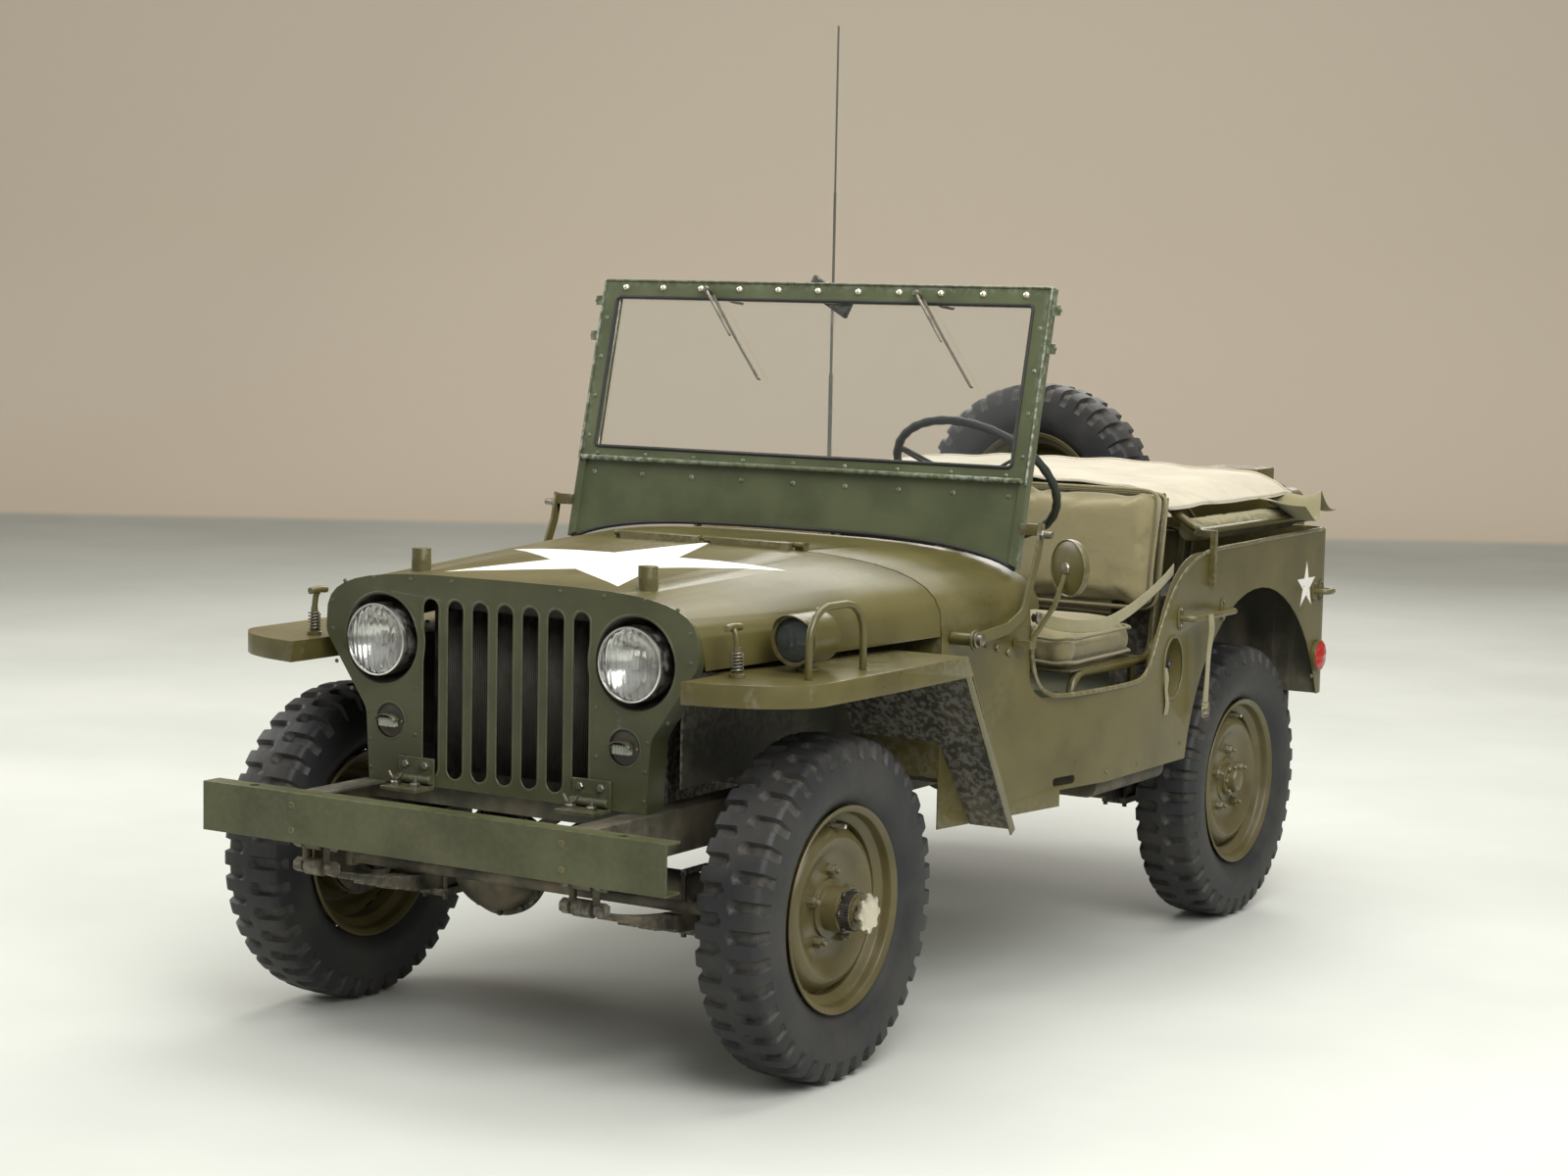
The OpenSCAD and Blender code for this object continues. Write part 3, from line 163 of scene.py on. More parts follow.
class Graph:
    """The nodes of one material, round a Principled shader."""

    def __init__(self, name: str) -> None:
        """Makes the material.

        Args:
            name: the material's name.
        """
        self.material = bpy.data.materials.new(name)
        self.material.use_nodes = True
        self.tree = self.material.node_tree
        self.tree.nodes.clear()
        self.shader = self.tree.nodes.new("ShaderNodeBsdfPrincipled")
        out = self.tree.nodes.new("ShaderNodeOutputMaterial")
        self.tree.links.new(self.shader.outputs[0], out.inputs[0])

    def feed(self, node: bpy.types.Node, sockets: dict) -> None:
        """Sets a node's sockets.

        Args:
            node: the node.
            sockets: value or wire for each socket's name or number.
        """
        for key, value in sockets.items():
            socket = node.inputs[key]
            if isinstance(value, Wire):
                self.tree.links.new(value.socket, socket)
            elif isinstance(value, tuple) and len(value) == 3 and socket.type == "RGBA":
                socket.default_value = (*value, 1.0)
            else:
                socket.default_value = value

    def add(self, kind: str, sockets: dict | None = None, output: int | str = 0, **settings) -> Wire:
        """Adds any node.

        Args:
            kind: the node's type.
            sockets: value or wire for each input socket.
            output: which output to return.
            settings: the node's own settings.

        Returns:
            The chosen output.
        """
        node = self.tree.nodes.new(kind)
        for key, value in settings.items():
            setattr(node, key, value)
        self.feed(node, sockets or {})
        return Wire(self, node.outputs[output])

    def surface(self, sockets: dict) -> bpy.types.Material:
        """Sets the shader's sockets.

        Args:
            sockets: value or wire for each of the shader's sockets.

        Returns:
            The material.
        """
        self.feed(self.shader, sockets)
        return self.material

    def place(self) -> Wire:
        """Object coordinates."""
        return self.add("ShaderNodeTexCoord", output="Object")

    def axes(self) -> tuple[Wire, Wire, Wire]:
        """Object coordinates as three values."""
        first = self.add("ShaderNodeSeparateXYZ", {0: self.place()}, output=0)
        node = first.socket.node
        return first, Wire(self, node.outputs[1]), Wire(self, node.outputs[2])

    def stretched(self, scale: Colour) -> Wire:
        """Object coordinates scaled along each axis."""
        return self.add("ShaderNodeMapping", {"Vector": self.place(), "Scale": triple(scale)})

    def noise(self, scale: float, detail: float = 4.0, rough: float = 0.55, at: Wire | None = None) -> Wire:
        """Noise from 0 to 1.

        Args:
            scale: how many cells there are to a metre.
            detail: the number of octaves.
            rough: how strong the finer octaves are.
            at: coordinates, or Object coordinates when left out.

        Returns:
            The noise.
        """
        sockets = {"Vector": at or self.place(), "Scale": scale, "Detail": detail, "Roughness": rough}
        return self.add("ShaderNodeTexNoise", sockets)

    def mix(self, factor: Number, first: Wire | Colour, second: Wire | Colour) -> Wire:
        """Mix of two colours: first at 0 and second at 1."""
        return self.add("ShaderNodeMix", {0: factor, 6: first, 7: second}, output=2, data_type="RGBA")

    def bump(self, height: Wire, depth: float, strength: float = 1.0) -> Wire:
        """Normal bent by a height, whose full range is depth in metres."""
        return self.add("ShaderNodeBump", {"Height": height, "Distance": depth, "Strength": strength},
            output="Normal")


def triple(values: Sequence[float]) -> tuple[float, float, float]:
    """Three numbers as a tuple for a vector socket."""
    return (float(values[0]), float(values[1]), float(values[2]))


# ---- Finishes ----


@dataclass(frozen=True)
class Star:
    """A painted five-point star.

    Its plane is given by the numbers of the two object axes that it lies in, and turn is the angle
    of one point from the first of them. The last axis keeps it on the panel that faces level's side.
    """

    centre: tuple[float, float]
    radius: float
    axes: tuple[int, int]
    turn: float
    level: float

    def mask(self, graph: Graph) -> Wire:
        """Inside of the star.

        A point's angle is folded into the wedge between a tip and the inner corner beside it. The
        point is inside where it lies on the centre's side of the line that joins those two.
        """
        along = graph.axes()
        across = along[self.axes[0]] - self.centre[0]
        up = along[self.axes[1]] - self.centre[1]
        reach = (across * across + up * up) ** 0.5
        wedge = 2 * math.pi / 5
        angle = up.math("ARCTAN2", across) - self.turn
        folded = abs((angle / wedge + 10.5).math("FRACT") - 0.5) * wedge
        inner = self.radius * math.sin(math.radians(18)) / math.sin(math.radians(54))
        corner = (inner * math.cos(wedge / 2), inner * math.sin(wedge / 2))
        run, climb = corner[0] - self.radius, corner[1]
        length = math.hypot(run, climb)
        side = (reach * folded.math("SINE") * run - (reach * folded.math("COSINE") - self.radius)
            * climb) / length
        other = along[3 - self.axes[0] - self.axes[1]]
        facing = other.rise(self.level - 0.002, self.level)
        return side.rise(-0.0012, 0.0012) * facing


@dataclass(frozen=True)
class Paint:
    """Worn semi-gloss paint on pressed steel."""

    name: str
    colour: Colour
    rough: float = 0.42
    wear: float = 0.25
    dust: float = 0.35
    star: Star | None = None
    bare: Colour = (0.42, 0.40, 0.36)

    def material(self) -> bpy.types.Material:
        """Mottled paint, with dust low down, chips and fine scratches to the metal, and soft dents."""
        g = Graph(self.name)
        height = g.axes()[2]
        broad, fine = g.noise(5.0), g.noise(70.0, 6.0)
        dark = tuple(0.84 * c for c in self.colour)
        pale = tuple(min(1.0, 1.16 * c + 0.004) for c in self.colour)
        paint = g.mix(broad.rise(0.35, 0.65), dark, pale)
        if self.star:
            thin = g.noise(130.0, 5.0).rise(0.30, 0.36)
            paint = g.mix(self.star.mask(g) * thin, paint, (0.80, 0.79, 0.74))
        dirt = height.rise(1.05, 0.15) * self.dust * g.noise(9.0, 6.0).rise(0.35, 0.75)
        streak = g.noise(1.0, 5.0, 0.6, g.stretched((26.0, 26.0, 2.2))).rise(0.58,
            0.80) * (0.35 * self.dust)
        dirty = g.mix(dirt + streak, paint, (0.21, 0.175, 0.115))
        patch = g.noise(7.0, 3.0).rise(0.50, 0.66)
        chip = g.noise(150.0, 3.0, 0.7).rise(0.70, 0.73) * patch
        line = g.noise(1.0, 4.0, 0.7, g.stretched((14.0, 150.0, 190.0))).rise(0.715, 0.735) * patch
        edge = g.add("ShaderNodeNewGeometry", output="Pointiness").rise(0.535, 0.60) * fine.rise(0.42, 0.62)
        bare = ((chip + line) * self.wear + edge * (1.6 * self.wear)).math("MINIMUM", 1.0)
        peel = fine * 0.5 + g.noise(420.0, 2.0) * 0.5
        dent = g.bump(g.noise(3.2, 2.0), 0.004, 0.35)
        normal = g.add("ShaderNodeBump", {"Height": peel - bare * 0.6, "Distance": 0.0006, "Strength": 0.35,
            "Normal": dent}, output="Normal")
        return g.surface({
            "Base Color": g.mix(bare, dirty, self.bare),
            "Metallic": bare * 0.7,
            "Roughness": self.rough + (dirt + streak) * 0.40 + (broad - 0.5) * 0.16 + (fine - 0.5) * 0.12,
            "Normal": normal,
            "Specular IOR Level": 0.5,
        })


@dataclass(frozen=True)
class Metal:
    """Bare or plated metal with oily grime."""

    name: str
    colour: Colour
    rough: float = 0.3
    grime: float = 0.4

    def material(self) -> bpy.types.Material:
        """Metal whose grime dulls it in patches."""
        g = Graph(self.name)
        grime = g.noise(38.0, 6.0).rise(0.42, 0.70) * self.grime
        return g.surface({
            "Base Color": g.mix(grime, self.colour, (0.07, 0.055, 0.035)),
            "Metallic": 1.0 - grime * 0.8,
            "Roughness": self.rough + grime * 0.4,
            "Normal": g.bump(g.noise(260.0, 3.0), 0.0004, 0.4),
        })


@dataclass(frozen=True)
class Cloth:
    """Woven canvas that fades, stains and creases."""

    name: str
    colour: Colour
    stain: Colour
    threads: float = 620.0
    sheen: float = 0.25

    def material(self) -> bpy.types.Material:
        """Weave from two crossed waves on the cloth's own map, over fading and stains, darkened where slub
        and weave are low: partly the yarn's own uneven tone, partly painted shade in the hollows.
        """
        g = Graph(self.name)
        node = g.add("ShaderNodeSeparateXYZ", {0: g.add("ShaderNodeUVMap", uv_map="cloth")})
        u, v = node, Wire(g, node.socket.node.outputs[1])
        weave = (u * (self.threads * math.pi)).math("SINE") * (v * (self.threads * math.pi)).math("SINE")
        slub = g.noise(90.0, 5.0, 0.65)
        fade = g.noise(4.5, 4.0).rise(0.34, 0.68)
        stain = g.noise(11.0, 6.0, 0.6).rise(0.52, 0.80) * 0.55
        pale = tuple(min(1.0, 1.18 * c) for c in self.colour)
        cloth = g.mix(fade, self.colour, pale)
        worn = g.mix(stain, cloth, self.stain)
        # Darker where slub and weave are low, in the bump's hollows: partly uneven yarn tone, partly
        # painted shade.
        shade = (slub - 0.5) * 0.7 + weave * 0.10
        dark = tuple(0.55 * c for c in self.colour)
        colour = g.mix((shade + 0.14).rise(0.0, -0.30) * 0.6, worn, dark)
        crease = g.bump(g.noise(16.0, 3.0, 0.5), 0.010, 0.30)
        height = weave * 0.35 + slub * 0.9
        normal = g.add("ShaderNodeBump", {"Height": height, "Distance": 0.0012, "Strength": 0.55,
            "Normal": crease}, output="Normal")
        return g.surface({
            "Base Color": colour, "Roughness": 0.86 + (slub - 0.5) * 0.1, "Normal": normal,
            "Sheen Weight": self.sheen, "Specular IOR Level": 0.25,
        })


@dataclass(frozen=True)
class Rubber:
    """Tyre or moulded rubber, with dust where it isn't rubbed clean."""

    name: str
    colour: Colour = (0.017, 0.0185, 0.020)
    dust: float = 0.5
    tread: bool = False

    def material(self) -> bpy.types.Material:
        """Dark rubber. On a tread, dust lies in the grooves, which the attribute groove marks."""
        g = Graph(self.name)
        grain = g.noise(55.0, 6.0, 0.6)
        film = g.noise(7.0, 5.0).rise(0.35, 0.72) * (0.6 * self.dust)
        if self.tread:
            groove = g.add("ShaderNodeAttribute", output="Fac", attribute_name="groove")
            film = film * 0.8 + groove * grain.rise(0.3, 0.7) * self.dust * 0.8
        return g.surface({
            "Base Color": g.mix(film, self.colour, (0.095, 0.084, 0.066)),
            "Roughness": 0.50 + film * 0.3 + (grain - 0.5) * 0.2,
            "Normal": g.bump(grain + g.noise(300.0, 2.0) * 0.5, 0.0011, 0.5),
            "Specular IOR Level": 0.35,
        })


@dataclass(frozen=True)
class Pane:
    """Clear or coloured glass."""

    name: str
    colour: Colour = (0.96, 0.985, 0.975)
    clear: float = 1.0
    ribs: float = 0.0

    def material(self) -> bpy.types.Material:
        """Glass with a thin film of dust, and pressed flutes where ribs is above 0."""
        g = Graph(self.name)
        film = g.noise(13.0, 6.0).rise(0.45, 0.85)
        across, _, up = g.axes()
        sockets = {
            "Base Color": g.mix(film * 0.10, self.colour, (0.75, 0.74, 0.70)),
            "Roughness": 0.015 + film * 0.06,
            "Transmission Weight": self.clear, "IOR": 1.45,
        }
        if self.ribs:
            flute = (across * self.ribs).math("SINE") + (up * (self.ribs * 0.4)).math("SINE") * 0.5
            sockets["Normal"] = g.bump(flute, 0.0018, 0.6)
        return g.surface(sockets)


@lru_cache(maxsize=None)
def made(finish: Paint | Metal | Cloth | Rubber | Pane) -> bpy.types.Material:
    """The finish's material, made once.

    Args:
        finish: any finish.

    Returns:
        Its material.
    """
    return finish.material()


OLIVE = (0.082, 0.070, 0.0195)
GREENER = (0.078, 0.092, 0.043)
BODY = Paint("olive_body", OLIVE, 0.31, 0.08, 0.09)
NOSE = Paint("olive_nose", (0.055, 0.058, 0.024), 0.38, 0.08, 0.12)
SCREEN = Paint("olive_screen", GREENER, 0.34, 0.32, 0.16, bare=(0.50, 0.56, 0.50))
UNDER = Paint("chassis_paint", (0.026, 0.025, 0.015), 0.62, 0.25, 0.9)
WHEEL = Paint("olive_wheel", (0.076, 0.062, 0.018), 0.32, 0.12, 0.22)
FLOOR = Paint("floor_paint", (0.10, 0.11, 0.07), 0.60, 0.6, 0.8)
STEEL = Metal("worn_steel", (0.25, 0.235, 0.19), 0.38, 0.75)
BRIGHT = Metal("bright_metal", (0.74, 0.73, 0.70), 0.16, 0.2)
CAP = Metal("hub_cap_metal", (0.74, 0.69, 0.55), 0.34, 0.25)
DARK = Metal("dark_metal", (0.09, 0.085, 0.075), 0.5, 0.7)
KHAKI = Cloth("seat_canvas", (0.205, 0.178, 0.092), (0.11, 0.09, 0.045))
PALE = Cloth("cover_canvas", (0.40, 0.362, 0.275), (0.25, 0.21, 0.14))
DRAB = Cloth("folded_canvas", (0.185, 0.165, 0.075), (0.10, 0.085, 0.04))
WEBBING = Cloth("webbing", (0.205, 0.185, 0.095), (0.11, 0.09, 0.05), 420.0)
TREAD = Rubber("tyre_rubber", tread=True)
BLACK = Rubber("black_rubber", (0.018, 0.018, 0.018), 0.25)
GRIP = Rubber("wheel_grip", (0.020, 0.027, 0.021), 0.12)
CLEAR = Pane("clear_glass")
LENS = Pane("lamp_lens", (0.97, 0.98, 0.98), 1.0, 380.0)
FROSTED = Pane("marker_lens", (0.42, 0.45, 0.36), 0.25, 900.0)
RED = Pane("red_lens", (0.55, 0.012, 0.010), 0.35, 700.0)


# ---- Shapes ----


def unit(vector: Points) -> Points:
    """The vectors along the last axis, each divided by its length."""
    vector = np.asarray(vector, float)
    return vector / np.maximum(np.linalg.norm(vector, axis=-1, keepdims=True), 1e-12)


def frame_of(axis: Sequence[float]) -> tuple[Points, Points, Points]:
    """Two unit vectors square to the axis, and the axis itself.

    Args:
        axis: any direction.

    Returns:
        First, second and axis, right-handed.
    """
    axis = unit(axis)
    helper = np.array([0.0, 0.0, 1.0]) if abs(axis[2]) < 0.9 else np.array([1.0, 0.0, 0.0])
    first = unit(np.cross(helper, axis))
    return first, np.cross(axis, first), axis


def smooth_path(points: Sequence[Sequence[float]], count: int) -> Points:
    """Catmull-Rom curve: each span is the cubic through its two ends, with slopes from their neighbours.

    Args:
        points: what the curve passes through.
        count: the number of points wanted.

    Returns:
        The curve's points.
    """
    p = np.asarray(points, float)
    p = np.vstack([2 * p[0] - p[1], p, 2 * p[-1] - p[-2]])
    t = np.linspace(0, len(p) - 3 - 1e-9, count)
    i, t = t.astype(int), (t % 1)[:, None]
    a, b, c, d = p[i], p[i + 1], p[i + 2], p[i + 3]
    return 0.5 * (2 * b + (c - a) * t + (2 * a - 5 * b + 4 * c - d) * t**2 + (3 * b - a - 3 * c + d) * t**3)


def rounded(points: Sequence[Sequence[float]], radius: float, steps: int = 6) -> Points:
    """Path whose inner corners are rounded by the quadratic curve between the points where they start.

    Args:
        points: the corners.
        radius: how far from a corner its curve starts.
        steps: the number of spans in a curve.

    Returns:
        The path's points.
    """
    p = np.asarray(points, float)
    t = np.linspace(0, 1, steps + 1)[:, None]
    parts = [p[:1]]
    for before, corner, after in zip(p[:-2], p[1:-1], p[2:]):
        start = corner + unit(before - corner) * min(radius, np.linalg.norm(before - corner) * 0.49)
        end = corner + unit(after - corner) * min(radius, np.linalg.norm(after - corner) * 0.49)
        parts.append((1 - t) ** 2 * start + 2 * t * (1 - t) * corner + t**2 * end)
    return np.vstack([*parts, p[-1:]])


@dataclass
class Shape:
    """Vertices and faces gathered from grids, for one piece."""

    verts: list[Points] = field(default_factory=list)
    faces: list[list[int]] = field(default_factory=list)
    maps: list[Points] = field(default_factory=list)
    count: int = 0

    def grid(self, points: Points, wrap_u: bool = False, wrap_v: bool = False,
            caps: bool = False) -> "Shape":
        """Adds a grid of points, whose faces join each to its neighbours along both directions.

        Args:
            points: array of size (n, m, 3).
            wrap_u: joins the last row to the first.
            wrap_v: joins the last column to the first.
            caps: closes the first and last row.

        Returns:
            This shape.
        """
        n, m = points.shape[:2]
        number = self.count + np.arange(n * m).reshape(n, m)
        here = number if wrap_u else number[:-1]
        there = np.roll(number, -1, 0) if wrap_u else number[1:]
        if wrap_v:
            right_here, right_there = np.roll(here, -1, 1), np.roll(there, -1, 1)
        else:
            right_here, right_there, here, there = here[:, 1:], there[:, 1:], here[:, :-1], there[:, :-1]
        quads = np.stack([here, there, right_there, right_here], -1).reshape(-1, 4)
        self.faces += quads.tolist()
        if caps:
            self.faces += [number[0].tolist(), number[-1][::-1].tolist()]
        u, v = np.meshgrid(np.linspace(0, 1, n), np.linspace(0, 1, m), indexing="ij")
        self.verts.append(points.reshape(-1, 3))
        self.maps.append(np.stack([u, v], -1).reshape(-1, 2))
        self.count += n * m
        return self

    def pipe(self, path: Points, radius: float | Points, sides: int = 12,
            flat: Sequence[float] = (0, 0, 1)) -> "Shape":
        """Adds a closed tube: a circle carried along the path, square to it.

        Args:
            path: the middle line.
            radius: the tube's radius, or one for each point.
            sides: faces round it.
            flat: a direction that the path never runs along.

        Returns:
            This shape.
        """
        path = np.asarray(path, float)
        along = unit(np.gradient(path, axis=0))
        side = unit(np.cross(np.asarray(flat, float), along))
        up = np.cross(along, side)
        a = np.linspace(0, 2 * math.pi, sides, endpoint=False)[None, :, None]
        r = np.broadcast_to(np.asarray(radius, float), (len(path),))[:, None, None]
        ring = path[:, None] + r * (np.cos(a) * side[:, None] + np.sin(a) * up[:, None])
        return self.grid(ring, wrap_v=True, caps=True)

    def turned(
        self, profile: Sequence[Sequence[float]], centre: Sequence[float], axis: Sequence[float],
        sides: int = 32,
        phase: float = 0.0,
    ) -> "Shape":
        """Adds a solid of revolution: a profile of distance along the axis and radius, swept round it.

        Args:
            profile: [along, radius] pairs; a radius of 0 closes an end.
            centre: the axis's start.
            axis: its direction.
            sides: faces round it; 6 makes a hexagon.
            phase: turn of the first corner.

        Returns:
            This shape.
        """
        first, second, axis = frame_of(axis)
        line = np.asarray(profile, float)
        a = phase + np.linspace(0, 2 * math.pi, sides, endpoint=False)[:, None, None]
        out = np.cos(a) * first + np.sin(a) * second
        ring = np.asarray(centre, float) + line[None, :, :1] * axis + line[None, :, 1:] * out
        return self.grid(ring, wrap_u=True)

    def box(self, low: Sequence[float], high: Sequence[float], turn: Matrix | None = None) -> "Shape":
        """Adds a box between two corners.

        Args:
            low: lowest corner.
            high: highest corner.
            turn: optional matrix that then moves it.

        Returns:
            This shape.
        """
        corners = np.array([[(low, high)[k >> i & 1][i] for i in range(3)] for k in range(8)])
        if turn is not None:
            corners = corners @ np.array(turn.to_3x3()).T + np.array(turn.translation)
        sides = [[0, 2, 3, 1], [4, 5, 7, 6], [0, 1, 5, 4], [2, 6, 7, 3], [0, 4, 6, 2], [1, 3, 7, 5]]
        self.faces += [[self.count + i for i in side] for side in sides]
        self.verts.append(corners)
        self.maps.append(np.zeros((8, 2)))
        self.count += 8
        return self

    def bolts(
        self, centres: Iterable[Sequence[float]], axis: Sequence[float], radius: float, height: float,
        sides: int = 6
    ) -> "Shape":
        """Adds bolt heads or rivets: chamfered prisms that stand on a surface.

        Args:
            centres: the middle of each foot.
            axis: the surface's outward normal.
            radius: to a corner of the head.
            height: of the head.
            sides: 6 for a hexagon, more for a rivet.

        Returns:
            This shape.
        """
        dome = [[-0.001, 0], [-0.001, radius], [0.7 * height, radius], [height, 0.78 * radius], [height, 0]]
        if sides > 6:
            dome = [[-0.001, 0], [-0.001, radius], [0.45 * height, 0.86 * radius],
                [0.85 * height, 0.5 * radius], [height, 0]]
        for centre in centres:
            self.turned(dome, centre, axis, sides)
        return self

    def ribbon(self, path: Points, across: Points, width: float, thick: float,
            wave: float = 0.0) -> "Shape":
        """Adds a flat strap: a rounded rectangle carried along the path.

        Args:
            path: the middle line.
            across: the direction of the strap's width at each point.
            width: its width.
            thick: its thickness.
            wave: how far its edges ripple.

        Returns:
            This shape.
        """
        path = np.asarray(path, float)
        along = unit(np.gradient(path, axis=0))
        across = unit(np.broadcast_to(np.asarray(across, float), path.shape))
        out = unit(np.cross(along, across))
        a = np.linspace(0, 2 * math.pi, 16, endpoint=False)[None, :, None]
        x = np.sign(np.cos(a)) * np.abs(np.cos(a)) ** 0.25 * width / 2
        y = np.sign(np.sin(a)) * np.abs(np.sin(a)) ** 0.6 * thick / 2
        lift = wave * np.sin(np.linspace(0, 9, len(path)))[:, None, None] * np.cos(a)
        ring = path[:, None] + x * across[:, None] + (y + lift) * out[:, None]
        return self.grid(ring, wrap_v=True, caps=True)

    def build(
        self, name: str, finish: object, body: str, slot: str, bevel: float = 0.0,
        thick: float = 0.0,
        smooth: float = 35.0, replaces: str = "",
    ) -> bpy.types.Object:
        """Makes the piece, outward faces first, and lets it ride on its body.

        Args:
            name: the piece's name.
            finish: its finish.
            body: the CAD body that it moves with.
            slot: the record's material slot; not used.
            bevel: width of rounded edges.
            thick: wall thickness given to an open sheet.
            smooth: faces that meet below this angle, in degrees, shade as one.
            replaces: the CAD node that it stands in for, if any.

        Returns:
            The piece.
        """
        mesh = bpy.data.meshes.new(name)
        mesh.from_pydata(np.vstack(self.verts).tolist(), [], self.faces)
        layer = mesh.uv_layers.new(name="cloth")
        corner = np.empty(len(mesh.loops), np.int32)
        mesh.loops.foreach_get("vertex_index", corner)
        layer.data.foreach_set("uv", np.vstack(self.maps)[corner].astype(np.float32).ravel())
        piece = bpy.data.objects.new(name, mesh)
        bpy.context.collection.objects.link(piece)
        tidy(piece, 1e-6)
        if replaces:
            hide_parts(replaces)
        return finished(piece, finish, body, bevel, thick, smooth)


def tidy(piece: bpy.types.Object, gap: float, flatten: bool = False) -> None:
    """Merges doubles and turns all faces outwards.

    Args:
        piece: a mesh object.
        gap: vertices nearer than this are merged.
        flatten: joins faces that lie in one plane.
    """
    work = bmesh.new()
    work.from_mesh(piece.data)
    bmesh.ops.remove_doubles(work, verts=work.verts, dist=gap)
    bmesh.ops.dissolve_degenerate(work, dist=1e-7, edges=work.edges)
    if flatten:
        bmesh.ops.dissolve_limit(work, angle_limit=0.002, verts=work.verts, edges=work.edges)
    bmesh.ops.recalc_face_normals(work, faces=work.faces)
    work.to_mesh(piece.data)
    work.free()


def finished(
    piece: bpy.types.Object, finish: object, body: str, bevel: float = 0.0,
    thick: float = 0.0, smooth: float = 35.0,
) -> bpy.types.Object:
    """Gives a mesh its modifiers, material and body.

    Args:
        piece: a mesh object at the origin.
        finish: its finish.
        body: the CAD body that it moves with.
        bevel: width of rounded edges.
        thick: wall thickness given to an open sheet.
        smooth: shading angle in degrees.

    Returns:
        The piece.
    """
    if thick:
        wall = piece.modifiers.new("wall", "SOLIDIFY")
        wall.thickness, wall.offset = thick, 0.0
    if bevel:
        edge = piece.modifiers.new("edge", "BEVEL")
        edge.width, edge.segments, edge.limit_method = bevel, 2, "ANGLE"
        edge.angle_limit = math.radians(32)
        edge.harden_normals = False
    piece.data.shade_smooth()
    piece.data.set_sharp_from_angle(angle=math.radians(75 if bevel else smooth))
    piece.data.materials.clear()
    piece.data.materials.append(made(finish))
    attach(piece, body)
    log.info("%s rides on %s", piece.name, body)
    return piece


def dressed(
    node: str, finish: object, body: str, bevel: float = 0.0012, name: str | None = None,
    smooth: float = 35.0
) -> bpy.types.Object:
    """Replaces a CAD node by its own shape with merged faces, rounded edges and a finish.

    Args:
        node: the CAD node.
        finish: the piece's finish.
        body: its body.
        bevel: width of the rounded edges.
        name: the piece's name, or one made from the node's.
        smooth: shading angle in degrees where nothing is bevelled.

    Returns:
        The piece.
    """
    piece = bpy.data.objects.new(name or f"{node}_shell", FRAME["nodes"][node].data.copy())
    bpy.context.collection.objects.link(piece)
    tidy(piece, 2e-5, flatten=True)
    finished(piece, finish, body, bevel, smooth=smooth)
    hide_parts(node)
    return piece


def select_only(piece: bpy.types.Object) -> None:
    """Makes one object active and the only one selected."""
    bpy.ops.object.select_all(action="DESELECT")
    piece.select_set(True)
    bpy.context.view_layer.objects.active = piece


def coordinates(piece: bpy.types.Object) -> Points:
    """A mesh's vertices as an array."""
    flat = np.empty(3 * len(piece.data.vertices))
    piece.data.vertices.foreach_get("co", flat)
    return flat.reshape(-1, 3)


def put(piece: bpy.types.Object, points: Points) -> None:
    """Writes an array into a mesh's vertices."""
    piece.data.vertices.foreach_set("co", np.asarray(points, np.float64).ravel())
    piece.data.update()


def paint_shade_under_and_inboard(piece: bpy.types.Object, below: float) -> None:
    """Gives the faces that look down, or lie inboard of the hood's sides, the dark chassis paint as painted
    shade.

    Args:
        piece: a finished piece.
        below: faces whose normal has a height under this look down.
    """
    piece.data.materials.append(made(UNDER))
    up = np.empty(3 * len(piece.data.polygons))
    middle = up.copy()
    piece.data.polygons.foreach_get("normal", up)
    piece.data.polygons.foreach_get("center", middle)
    # Painted shade: downward faces and faces inboard of the hood's sides take the dark chassis paint.
    inner = np.abs(middle[::3]) < 0.45
    piece.data.polygons.foreach_set("material_index", ((up[2::3] < below) | inner).astype(np.int32))


FRAME: dict = {}


@dataclass
class Places:
    """Where things are, from the CAD nodes' boxes."""

    front: float = 0.0
    hub: float = 0.0

    def read(self) -> "Places":
        """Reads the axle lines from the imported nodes."""
        low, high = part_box("front_left_tyre")
        self.front, self.hub = (low[1] + high[1]) / 2, (low[2] + high[2]) / 2
        return self

    def at(self, x: float, station: float, z: float) -> Points:
        """Point from x, the station behind the front axle and the height."""
        return np.array([x, self.front + station, z])

    def line(self, points: Sequence[Sequence[float]]) -> Points:
        """Points from rows of x, station and height."""
        return np.asarray(points, float) + [0.0, self.front, 0.0]


class Side(Enum):
    """Which side of the car."""

    LEFT = 1
    RIGHT = -1


# ---- Wheels and tyres ----


